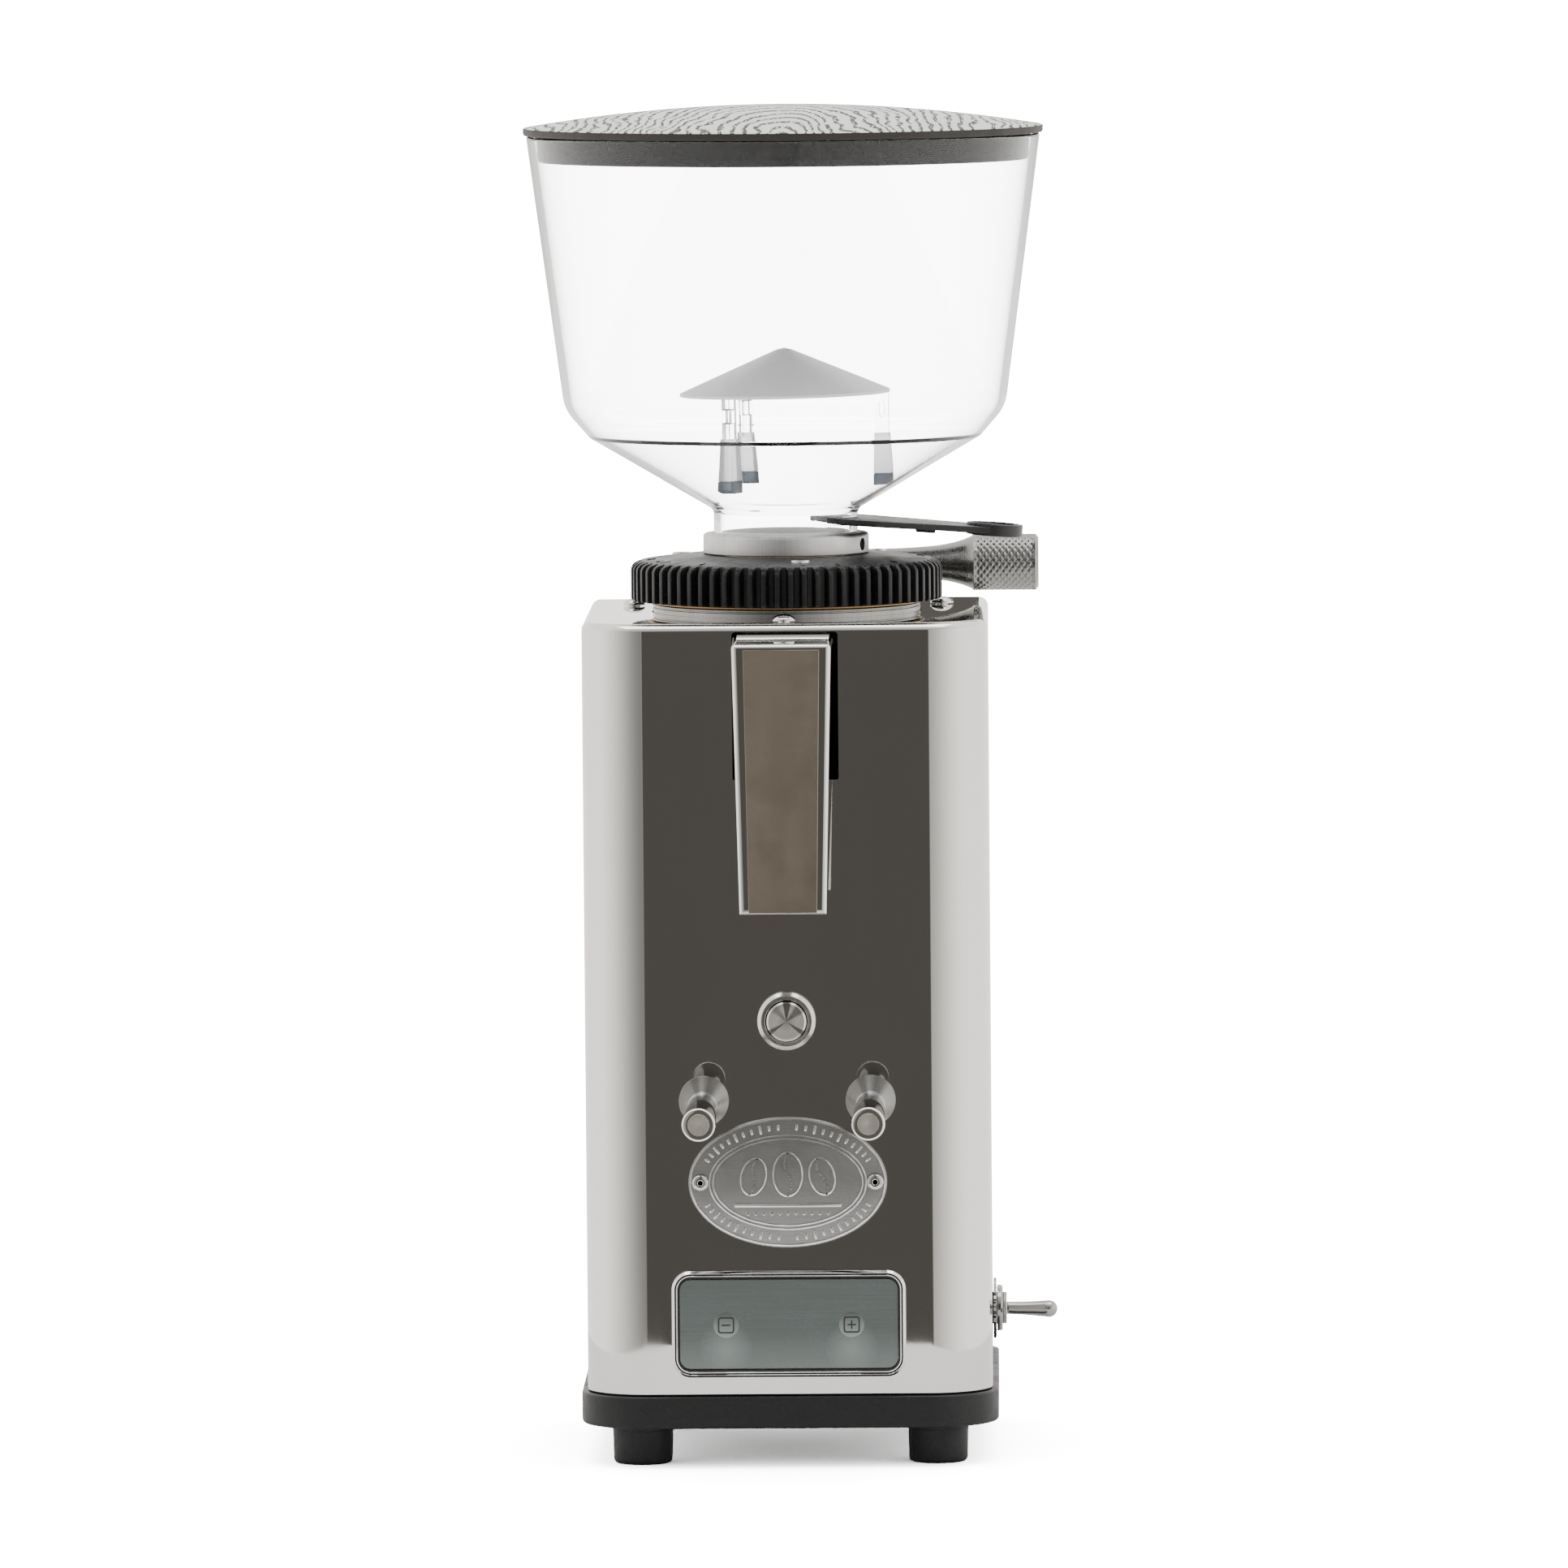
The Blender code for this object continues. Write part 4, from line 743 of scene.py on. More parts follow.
KNOB_STEEL = lathe_turned("knob_steel", (0.29, 0.285, 0.275), 0.24, WORM_AXIS, "X", 0.25, 0.004, 0.5)
BRIGHT_KNOB = lathe_turned("worm_steel", (0.50, 0.50, 0.49), 0.2, WORM_AXIS, "X", 0.2, 0.004, 0.3)
SPUN_STEEL = spun_cap("spun_steel", (0.72, 0.70, 0.65), BUTTON_AXIS)
FORK_STEEL = {}
for side, x in (("left", -FORK_X), ("right", FORK_X)):
    spot = (BODY_MIDDLE[0] + x, 0, DATUM + FORK_Z)
    FORK_STEEL[side] = turned_smooth(f"fork_steel_{side}", (0.52, 0.52, 0.515), 0.3, spot)
CAST = cast("cast_aluminium", (0.50, 0.50, 0.51), 0.42)
BURR = burr()
MOTOR = motor_steel()
BOARD = circuit_board()
VENEER = veneer()
EDGE_BOARD = moulded("veneer_edge", (0.024, 0.021, 0.0185), 0.55, 0.8, 0.05, (0.045, 0.04, 0.036))
BASE_PLASTIC = moulded("base_plastic", (0.006, 0.006, 0.0066), 0.38, 0.5, 0.012, (0.013, 0.013, 0.0135))
GEAR_PLASTIC = moulded("gear_plastic", (0.005, 0.0052, 0.0058), 0.34, 0.6, 0.02, (0.016, 0.016, 0.0165))
SEAL_PLASTIC = moulded("seal_plastic", (0.006, 0.0055, 0.0053), 0.2, 6, 0.0001, (0.009, 0.0085, 0.008))
GATE_PLASTIC = moulded("gate_plastic", (0.010, 0.0105, 0.011), 0.34, 0.5, 0.008, (0.02, 0.02, 0.02), 0.4)
RUBBER = moulded("rubber", (0.009, 0.0094, 0.010), 0.45, 0.35, 0.01, (0.018, 0.018, 0.0185))
CLEAR = clear_plastic("clear_plastic", 0.015, 1.3)
CLEAR_GUARD = clear_plastic("clear_guard", 0.03, 1.5)
FROSTED = frosted("frosted_plastic", (0.97, 0.972, 0.975), 0.30, 0.12)
SLEEVE_GREY = frosted("sleeve_plastic", (0.62, 0.63, 0.635), 0.3, 0.55)
PAD_GREY = frosted("pad_rubber", (0.12, 0.14, 0.17), 0.35, 0.3)
GLASS_FACE = glass_face()
KEY_DISC_PAINTED_SHADE = key_light()
INK = printed("key_ink", (0.012, 0.014, 0.013), 0.3)
WHITE_PAINT = printed("white_paint", (0.55, 0.55, 0.54), 0.5)


# Housing, base and feet


def body_outline(inset, steps=24):
    """The housing's outline, moved inwards."""
    corners = FRONT_CORNER - inset, max(REAR_CORNER - inset, 0.3)
    return rounded_rectangle(-SIDE + inset, SIDE - inset, FRONT + inset, REAR - inset, *corners, steps)


def make_housing():
    """One folded sheet, joined by a fine upright seam down the middle of the front."""
    shell = slab(body_outline, HOUSING_BOTTOM, HOUSING_TOP, 0.5, 3.0, 8)
    chute_slot = rounded_rectangle(-16.95, 17.6, 232, CHUTE_TOP + 0.4, 0.7, 1.2, 5)
    cutters = [
        slab(lambda inset: body_outline(inset + SHEET), HOUSING_BOTTOM - 9, HOUSING_TOP - SHEET, 0, 1.6, 4),
        rod(44.5, HOUSING_TOP - 12, HOUSING_TOP + 12, ROUND),
        moved(plain_slab(chute_slot, -12, 12), on_front(0, 0)),
        box((-0.14, FRONT - 1, 163.2), (0.14, FRONT + 0.6, 233)),
        box((-0.14, FRONT - 1, 122), (0.14, FRONT + 0.6, 143.6)),
        moved(rod(8.2, -9, 9), on_front(0, BUTTON_Z)),
        moved(rod(6.6, -9, 9), on_rear(*GLAND)),
        moved(rod(5.9, -9, 9), on_right(TOGGLE_Y, TOGGLE_Z, SIDE)),
        moved(plain_slab(oblong(29, 9, 2, 4), -9, 9), on_front(0, DISPLAY_Z)),
    ]
    cutters += [moved(rod(3.2, -9, 9), on_front(x, FORK_Z)) for x in (-FORK_X, FORK_X)]
    cutters += [moved(rod(1.6, -9, 9, 24), on_front(x, BADGE_Z)) for x in (-RIVET_X, RIVET_X)]
    cutters += [moved(rod(2.4, -9, 9, 32), at(x, y, HOUSING_TOP)) for x, y in SCREWS.values()]
    piece("housing_skin", combined(shell, cutters), POLISHED, "housing", flat=True)


def make_base():
    low, high = span("base_tray")
    tray = slab(lambda inset: body_outline(inset - 2, 20), low.z, HOUSING_BOTTOM - 0.3, 1.4, 0.8, 4)
    lip = plain_slab(body_outline(SHEET + 0.3), low.z + 3.3, high.z - 2.5)
    pocket = plain_slab(body_outline(SHEET + 2.7), low.z + 3.3, high.z + 9)
    vents = [moved(plain_slab(oblong(22, 2, 1.9, 5), -5, 9), at(0, y, low.z)) for y in range(-20, 21, 10)]
    posts = [moved(rod(3, low.z + 1, 38.2, 32), at(x, y)) for x in (-40, 40) for y in (-36, 36)]
    tray = combined(combined(tray, [lip], "UNION"), [pocket, *vents])
    piece("base_moulding", combined(tray, posts, "UNION"), BASE_PLASTIC, "base_tray", flat=True)


def make_feet():
    for end in ("front_left", "front_right", "rear_left", "rear_right"):
        node = f"foot_{end}"
        spot = place(node)
        floor, top = span(node)[0].z, span(node)[1].z
        profile = [(0, top), (10.2, top, 0.3), (10.1, top - 1.6, 0.3), (9.9, top - 1.8, 0.2)]
        profile += [(9.6, floor, 1.6), (4.6, floor), (4.2, floor + 2.4), (2.2, floor + 2.4)]
        profile += [(2.0, floor + 3.6), (0, floor + 3.6)]
        piece(f"{node}_pad", moved(lathe(profile, 0.8, 72), at(spot.x, spot.y)), RUBBER, node)


# Grinding head


def make_chamber():
    """The casting that carries the burrs. Only its turned ring shows, above the housing."""
    low, high = span("grinding_chamber")
    ring, groove, deck = 44.1, 43.5, HOUSING_TOP - 1.8
    profile = [(ring, high.z, 0.4), (ring, 285.05, 0.05), (groove, 284.9, 0.05), (groove, 284.6, 0.05)]
    profile += [(ring, 284.45, 0.05), (ring, deck, 0), (63, deck), (63, 276), (50, 276, 2), (50, low.z)]
    profile += [(46, low.z), (46, 234, 2), (9, 234), (9, 241.5), (38, 241.5, 2), (38, 262), (41.8, 262)]
    body = lathe([*profile, (41.8, high.z)], 0.5, ROUND, ring=True)
    spout = box((-13, FRONT + 3, 238), (13, -44, 264))
    port = box((-10.5, FRONT, 243), (10.5, -34, 260.5))
    body = combined(combined(body, [spout], "UNION"), [port])
    piece("chamber_ring", body, RING_METAL, "grinding_chamber")
    seat = HOUSING_TOP + 0.3
    for name, (x, y) in SCREWS.items():
        dome = [(0, seat + 2.2)]
        for angle in np.linspace(0.15, math.pi / 2, 8):
            dome.append((3.8 * math.sin(angle), seat + 0.25 + 1.95 * math.cos(angle)))
        dome += [(3.8, seat), (2, seat), (2, 276), (0, 276)]
        screw = combined(turned(dome, 48), [rod(1.25, seat + 0.8, seat + 5, 6)])
        piece(f"head_screw_{name}", moved(screw, at(x, y)), SATIN_BRIGHT, f"chamber_screw_{name}")


def make_carrier():
    """The brass ring under the adjusting gear, and the sleeve that the hopper's collar stands on."""
    low, high = span("upper_burr_carrier")
    flange = GEAR_LOW.z - 0.3
    profile = [(26.5, high.z), (26.5, flange), (45.5, flange), (45.5, flange - 0.7), (41.4, flange - 0.7)]
    profile += [(41.4, low.z), (32.4, low.z), (32.4, 270.2), (20.5, 270.2), (20.5, high.z)]
    ring = lathe(profile, 0.25, ROUND, ring=True)
    piece("carrier_ring", ring, BRASS, "upper_burr_carrier", body="adjuster")


def tooth_radius(radius, _height, angle):
    """The gear's outline: rounded teeth, cut off wherever its own profile is narrower."""
    share = abs(angle * TEETH / (2 * math.pi) % 1 - 0.5) * 2  # 0 on the tooth, 1 in the gap
    flank = min(max((share - 0.30) / 0.34, 0), 1)
    return min(51.4 - 3.1 * flank * flank * (3 - 2 * flank), radius)


def make_gear():
    """The black adjusting gear, with worn-off tooth tops, graduation marks and three fixing screws."""
    top, low = GEAR_HIGH.z, GEAR_LOW.z
    profile = [(50.9, low), (51.2, low + 0.3), (60, low + 0.8), (60, 296.9), (51.3, 297.6), (50.9, 298.4)]
    profile += [(50.4, 299.0), (49.5, 299.5), (48.0, 300.0), (46.5, 300.25), (37.0, 301.4), (28.0, 302.0)]
    gear = turned([*profile, (26.8, top), (26.8, low)], 12 * TEETH, closed=True, shape=tooth_radius)
    piece("gear_ring", gear, GEAR_PLASTIC, "adjusting_gear", body="adjuster")
    marks = []
    for i in range(24):
        if i % 6 == 5:
            continue
        inner = 41.5 if i % 3 == 0 else 43.4
        mark = box((0, -0.22, -0.75), (46.2 - inner, 0.22, -0.05))
        marks.append(moved(mark, spin(15 * i - 97) @ at(inner, 0, 300.95) @ spin(6.5, "Y")))
    piece("gear_marks", gathered(marks), SEAL_PLASTIC, body="adjuster")
    arrow = plain_slab([(43.2, -1.3), (46.6, 0), (43.2, 1.3), (44.0, 0)], 299.9, 300.95)
    piece("gear_pointer", moved(arrow, spin(-152)), WHITE_PAINT, body="adjuster")
    for i, turn in enumerate((-82, 38, 158)):
        head = lathe([(0, 302.0), (3.1, 302.0, 0.6), (3.3, 300.6), (0, 300.6)], 0.2, 48)
        head = combined(head, [plain_slab(ellipse(1.3, 1.3, 6), 301.2, 303)])
        piece(f"gear_screw_{i}", moved(head, spin(turn) @ at(37.5, 0, -0.25)), SATIN_BRIGHT, body="adjuster")


def knurled(radius, height, angle):
    """Diamond points, fading out at both ends of the knob's grip."""
    u = angle / (2 * math.pi) * 40
    v = (height - KNOB_START) / 1.05
    first = abs(((u + v) / 2) % 1 - 0.5) * 2
    second = abs(((u - v) / 2) % 1 - 0.5) * 2
    start = min(max((height - KNOB_START - 0.3) / 0.8, 0), 1)
    end = min(max((KNOB_END - 1.2 - height) / 0.8, 0), 1)
    return radius + 0.42 * start * end * (min(first, second) ** 0.8 - 1)


def threaded(radius, height, angle):
    """The worm's single thread. At +Z of the shape's own frame lies +X of the grinder."""
    if abs(height) > 10.3:
        return radius
    lead = 2 * math.pi * 49.85 / TEETH
    turn = (height - lead * (angle + math.pi / 2) / (2 * math.pi)) / lead % 1
    away = min(turn, 1 - turn) * lead
    return radius + 3.15 * min(max((1.55 - away) / 1.05, 0), 1)


def make_knob():
    """The knurled knob with its flared stem, and the worm that it turns."""
    where = on_right(WORM_Y, WORM_Z)
    grip = 9.5
    profile = [(0, KNOB_END), (6.0, KNOB_END), (7.9, KNOB_END), (8.35, KNOB_END - 0.1)]
    profile += [(grip - 0.15, KNOB_END - 0.95), (grip, KNOB_END - 1.2)]
    profile += [(grip, height) for height in np.linspace(KNOB_END - 1.3, KNOB_START + 0.2, 79)]
    profile += [(9.3, 61.4), (8.85, 61.0), (7.75, 58.5), (6.85, 55.5), (6.2, 52.5), (5.75, 49.5), (5.35, 45)]
    profile += [(5.0, 39), (4.8, 33), (4.3, 24), (4.0, 22), (0, 22)]
    knob = moved(turned(profile, 200, shape=knurled), where)
    piece("knurled_knob", knob, KNOB_STEEL, "grind_knob", body="knob")
    profile = [(0, 22.2), (4, 22.2), (4, 10.5), (6.6, 10.5)]
    profile += [(6.6, height) for height in np.linspace(10.4, -10.4, 105)]
    profile += [(6.6, -10.5), (4, -10.5), (4, -22), (0, -22)]
    piece("worm_shaft", moved(turned(profile, 72, shape=threaded), where), BRIGHT_KNOB, body="knob")
    for side in ("left", "right"):
        node = f"worm_bearing_{side}"
        block = combined(bevelled(box(*span(node)), 1.2, 4, 40), [moved(rod(4.3, -60, 60), where)])
        piece(f"{node}_block", block, SATIN_ALUMINIUM, node, flat=True)


def make_collar():
    low, high = span("hopper_collar")
    profile = [(27.35, low.z, 0.3), (27.35, high.z, 1.3), (24.1, high.z, 0.4), (24.1, 303), (21, 303)]
    where = spin(68 - 90) @ on_right(0, 305.3)
    collar = lathe([*profile, (21, low.z)], 0.2, ROUND, ring=True)
    collar = combined(collar, [moved(rod(2.1, 20, 30, 40), where)])
    piece("collar_ring", collar, COLLAR_METAL, "hopper_collar", body="adjuster")
    screw = combined(rod(1.75, 24.3, 26.55, 40), [plain_slab(ellipse(0.9, 0.9, 6), 25, 30)])
    screw = moved(screw, where)
    piece("collar_grub_screw", screw, SEAL_PLASTIC, "collar_set_screw", body="adjuster")


# Hopper, gate, guard and lid


GATE_PLANE = at(0, 0, 314.4) @ spin(4.2, "Y")


def make_hopper():
    low, high = span("hopper")
    profile = [(84.7, high.z, 1.0), (72.8, 350.0, 14.0), (64.5, 340.5, 1.6), (24.5, 317.0, 2.0)]
    profile += [(23.8, 315.5, 0.5), (23.8, low.z, 0.4), (21.6, low.z, 0.4), (21.6, 318.1, 2.0)]
    profile += [(63.6, 342.4, 2.4), (70.4, 350.6, 12.0), (82.5, high.z, 1.0)]
    shell = turned(softened(profile, 0.4, 8), 160, closed=True)
    slot = moved(box((8, -19.4, -1.35), (34, 19.4, 1.35)), GATE_PLANE)
    notch = moved(box((12, -3, -3.25), (34, 3, 0)), GATE_PLANE)
    hopper = piece("hopper_shell", combined(shell, [slot, notch]), CLEAR, "hopper", body="adjuster")
    hopper.visible_shadow = False
    liner = lathe([(21.3, 309.6, 0.3), (21.3, 303.4), (20.5, 303.4), (20.5, 309.6, 0.3)], 0.2, ring=True)
    piece("throat_liner", liner, FROSTED, body="adjuster").visible_shadow = False


def make_gate():
    """The shutter plate, lying pulled out, with a raised rim round its thumb disc and ribs below."""
    outline = [(69.0, -8.8, 0.5), (69.0, 8.8, 0.5), (59, 12, 12), (30, 19, 8)]
    for turn in np.radians(np.linspace(114, 246, 33)):
        outline.append((28.8 + 20.8 * math.cos(turn), 20.8 * math.sin(turn), 0))
    outline += [(30, -19, 8), (59, -12, 12)]
    plate = bevelled(plain_slab(softened(outline, 0.5, 6), -1, 1), 0.35, 3)
    disc = [(0, -1.6), (7.4, -1.6, 0.4), (7.9, -2.0, 0.3), (9.3, -2.0, 0.5), (9.3, 2.0, 0.6)]
    disc = lathe([*disc, (8.1, 2.0, 0.5), (7.5, 1.15, 0.5), (0, 1.3)], 0.3, 96)
    tab = bevelled(box((43, -2.5, -2.6), (49.6, 2.5, 0)), 0.5, 3)
    neck = bevelled(box((50.5, -9.6, -1.25), (60.6, 9.6, 0)), 0.2, 3)
    gate = combined(plate, [moved(disc, at(69, 0)), tab, neck], "UNION")
    piece("gate_plate", moved(gate, GATE_PLANE), GATE_PLASTIC, "gate_lever", body="gate")


def leg_part(low, low_size, high, high_size):
    """A tapering block on one leg's place, from its two heights and (deep, across) sizes."""
    bm = bmesh.new()
    rings = []
    for height, (deep, across) in ((low, low_size), (high, high_size)):
        outline = oblong(deep / 2, across / 2, 0.6, 4)
        rings.append([bm.verts.new((LEG_REACH + x, y, height)) for x, y in outline])
        bm.faces.new(rings[-1])
    return bevelled(rings_joined(bm, rings, False), 0.3, 3, 50)


def make_guard():
    """The cone that keeps the beans' weight off the burrs, on three moulded legs."""
    rim, tip, radius = 355.4, span("bean_guard")[1].z + 0.5, 34.7
    lean = at(0, 0, rim) @ spin(-1.0, "Y") @ at(0, 0, -rim)
    profile = [(0, tip), (2.4, tip - 0.5, 2), (radius, rim, 0.4), (radius, rim - 1.0, 0.3)]
    profile += [(radius - 1.5, rim - 1.0, 0.3), (0, tip - 2.4)]
    cone = moved(turned(softened(profile, 0.4, 5, closed=False), 144), lean)
    foot, sleeve_low, sleeve_high = 324.6, 328.6, 342.2
    uprights, sleeves, pads = [], [], []
    for leg in range(3):
        there = lean @ spin(120 * leg - 4.4)
        eye = moved(plain_slab(oblong(0.8, 2.7, 0.79), -4, 4), at(LEG_REACH, 0, 348.7) @ spin(90, "X"))
        upright = combined(leg_part(sleeve_high - 1.5, (4.6, 3.2), rim - 0.6, (4.6, 3.2)), [eye])
        sleeve = leg_part(sleeve_low, (6.4, 5.6), sleeve_high, (5.0, 4.4))
        pad = leg_part(foot, (6.6, 5.8), sleeve_low - 0.05, (6.4, 5.6))
        for shape, shapes in ((upright, uprights), (sleeve, sleeves), (pad, pads)):
            shapes.append(moved(shape, there))
    made = [
        piece("guard_cone", cone, FROSTED, "bean_guard", body="adjuster"),
        piece("guard_uprights", gathered(uprights), CLEAR_GUARD, body="adjuster"),
        piece("guard_sleeves", gathered(sleeves), SLEEVE_GREY, body="adjuster"),
        piece("guard_pads", gathered(pads), PAD_GREY, body="adjuster"),
    ]
    for obj in made:
        obj.visible_shadow = False


def make_lid():
    """A shallow dome of veneer on a dark board, over the seal that sits in the hopper."""
    low, high = span("lid")
    edge, radius, top = 442.8, 85.7, high.z
    dome = [(radius * t, edge + (top - edge) * (1 - t * t)) for t in np.linspace(0, 0.995, 40)]
    board = [(0, top - 0.8)] + [(r, z - 0.35) for r, z in dome[1:]] + [(radius, edge - 0.2)]
    board += [(radius, low.z + 0.5), (radius - 0.4, low.z), (0, low.z)]
    skin = dome + [(radius - 0.05, edge - 0.1), (radius - 0.1, edge - 0.16)]
    skin += [(r, z - 0.3) for r, z in reversed(dome)]
    piece("lid_board", turned(board, 160), EDGE_BOARD, "lid", body="lid")
    piece("lid_veneer", turned(skin, 160), VENEER, body="lid")
    low, high = span("lid_insert")
    seal = [(0, high.z), (81.6, high.z, 0.3), (81.2, 434.4, 0.2), (81.35, 434.1, 0.2), (81.0, low.z, 0.7)]
    seal += [(78.6, low.z, 0.7), (78.6, high.z - 2.4, 1.5), (0, high.z - 2.4)]
    piece("lid_seal", lathe(seal, 0.3, 160), SEAL_PLASTIC, "lid_insert", body="lid")


# Front panel


def chute_half(height):
    """Half the chute's width at its front, which narrows to the outlet."""
    return 14 + 2 * (height - 192.6) / 86.1


def chute_shape(side, narrowing):
    """The chute from its side outline, a little wider towards the panel."""
    bm = bmesh.new()
    rings = []
    for sign in (-1, 1):
        ring = []
        for reach, height in side:
            half = chute_half(height) + 0.6 * (1 - reach / 55) - narrowing
            ring.append(bm.verts.new((sign * half, FRONT - reach, height)))
        bm.faces.new(ring)
        rings.append(ring)
    return rings_joined(bm, rings, False)


def make_chute():
    top, outlet, under = CHUTE_TOP, span("chute")[0].z, 232.6
    outer = chute_shape([(-4.5, top), (55, top), (55, outlet), (40, outlet), (1, under), (-4.5, under)], 0)
    rounded = []
    for edge in outer.edges:
        if all(corner.co.y < FRONT - 54 or corner.co.z > top - 0.1 for corner in edge.verts):
            rounded.append(edge)
    bmesh.ops.bevel(outer, geom=rounded, offset=1.6, segments=6, profile=0.5, affect="EDGES")
    inner = [(-15, top - 1.2), (53.8, top - 1.2), (53.8, outlet - 8), (41.3, outlet - 8)]
    inner += [(41.3, outlet + 0.4), (2, under + 1.2), (-15, under + 1.2)]
    shell = combined(outer, [chute_shape(inner, 1.2)])
    piece("chute_sheet", shell, POLISHED, "chute", flat=True)
    low, high = outlet + 0.5, top - 1.9

    def face(inset):
        low_half, high_half = chute_half(low) - 3.0 - inset, chute_half(high) - 3.7 - inset
        corners = [(-low_half, low + inset), (low_half, low + inset)]
        return corners + [(high_half, high - inset), (-high_half, high - inset)]

    panel = moved(slab(face, 54.8, 55.16, 0, 0.14, 2), on_front(0, 0))
    piece("chute_face", panel, CHUTE_FACE_PAINTED_REFLECTION, flat=True)


def make_button():
    where = on_front(0, BUTTON_Z)
    bezel = [(8.3, 3.4, 0.3), (9.5, 2.4, 0.3), (9.5, 0.3), (7.7, 0.3), (7.7, -8), (6.9, -8), (6.9, 3.4, 0.2)]
    piece("button_ring", moved(lathe(bezel, 0.2, 96, ring=True), where), BUTTON_STEEL, "button_bezel")
    cap = [(0, 4.9), (4.6, 5.15, 1), (6.0, 5.2, 0.4), (6.5, 4.5, 0.4), (6.5, -3), (0, -3)]
    piece("button_face", moved(lathe(cap, 0.2, 96), where), SPUN_STEEL, "button_cap", body="button")


def make_fork():
    cone = [(0, 18), (4.7, 18, 0.3), (8.15, 1.5, 0.3), (8.15, 0.3, 0.2), (2.8, 0.3), (2.8, -9), (0, -9)]
    cap = [(0, 78.95), (3.7, 79.0, 0.3), (5.4, 79.0, 2.0), (5.37, 76.4, 0.1), (0, 76.4)]
    pin = [(0, 76.35), (5.36, 76.35, 0.1), (4.6, 18.3, 0.2), (1.8, 18.3), (1.8, 8.3), (0, 8.3)]
    tip = [(0, 79.02), (0.3, 79.03), (0.45, 79.06), (3.45, 79.06), (3.55, 78.9), (0, 78.9)]
    for side, x in (("left", -FORK_X), ("right", FORK_X)):
        where = on_front(x, FORK_Z)
        boss = moved(combined(lathe(cone, 0.2, 96), [rod(2.1, 7.5, 23, 32)]), where)
        piece(f"fork_boss_{side}", boss, FORK_STEEL[side], f"fork_cone_{side}")
        piece(f"fork_cap_{side}", moved(lathe(cap, 0.2, 96), where), CAP_STEEL_PAINTED_BRIGHT)
        piece(f"fork_rod_{side}", moved(lathe(pin, 0.2, 96), where), PIN_STEEL_PAINTED_DARK, f"fork_pin_{side}")
        piece(f"fork_tip_{side}", moved(turned(tip, 72), where), TIP_STEEL)


def oval_band(half_width, half_height, width, low, high):
    """A raised oval line."""
    outer = slab(lambda inset: ellipse(half_width - inset, half_height - inset, 160), low, high, 0, 0.12, 2)
    hole = ellipse(half_width - width, half_height - width, 160)
    return combined(outer, [plain_slab(hole, low - 1, high + 1)])


def bean(half_length, half_width, turn, x, y, low, high):
    """A coffee bean drawn in raised line: its oval and the waving furrow along it."""
    line = []
    for t in np.linspace(-1, 1, 33):
        line.append((t * (half_length - 0.2), half_width * 0.24 * math.sin(math.pi * t)))
    outline = [(px, py - 0.3) for px, py in line] + [(px, py + 0.3) for px, py in reversed(line)]
    shape = gathered([oval_band(half_length, half_width, 0.6, low, high), plain_slab(outline, low, high)])
    return moved(shape, at(x, y) @ spin(turn))


def raised_bar(half_width, half_height, radius, face, crest, edge):
    def outline(inset):
        return oblong(half_width - inset, half_height - inset, radius, 3)

    return slab(outline, face, crest, 0, edge, 2)


def make_badge():
    """An oval riveted plate with a plain bean emblem inside a raised border."""
    where = on_front(0, BADGE_Z)
    top = 1.5
    plate = slab(lambda inset: ellipse(32.4 - inset, 21.4 - inset, 160), 0.3, top - 0.3, 0.1, 0.35, 3)
    holes = [moved(rod(1.6, -5, 5, 32), at(x, 0)) for x in (-RIVET_X, RIVET_X)]
    piece("badge_plate", moved(combined(plate, holes), where), BADGE_METAL, "badge")
    face, crest = top - 0.4, top + 0.1
    level = (face, crest)
    ovals = ((32.0, 21.0, 0.6), (25.8, 15.6, 0.5), (24.6, 14.4, 0.45))
    raised = [oval_band(*oval, *level) for oval in ovals]
    for i in range(60):
        turn = 2 * math.pi * i / 60
        x, y = 28.7 * math.cos(turn), 18.1 * math.sin(turn)
        if abs(y) < 6.3 or abs(x) < 0.1:
            continue
        slope = math.degrees(math.atan2(y / 18.1**2, x / 28.7**2))
        mark = raised_bar(0.95 if i % 3 else 1.5, 0.4, 0.2, *level, 0.1)
        raised.append(moved(mark, at(x, y) @ spin(slope)))
    beans = ((6.4, 4.3, 76, -11.2, 1.9), (6.4, 4.3, 104, 11.2, 1.9), (7.4, 5.0, 90, 0, 2.6))
    raised += [bean(*sizes, *level) for sizes in beans]
    raised.append(moved(raised_bar(17.5, 0.6, 0.3, *level, 0.12), at(0, -7.5)))
    dot = [(0, crest), (0.55, crest - 0.06), (0.8, face), (0, face)]
    raised += [moved(turned(dot, 24), at(i * 2.6, -10.2)) for i in range(-5, 6)]
    piece("badge_emblem", moved(gathered(raised), where), BADGE_EDGE)
    head = top + 0.3
    rivet = [(1.5, head + 0.8, 0.3), (2.3, head + 0.65, 0.5), (2.8, head, 0.1), (1.3, head), (1.3, -2.2)]
    rivet += [(0.8, -2.2), (0.8, head + 0.8, 0.3)]
    for side, x in (("left", -RIVET_X), ("right", RIVET_X)):
        made = moved(lathe(rivet, 0.15, 48, ring=True), on_front(x, BADGE_Z))
        piece(f"rivet_{side}", made, SATIN_BRIGHT, f"badge_rivet_{side}")


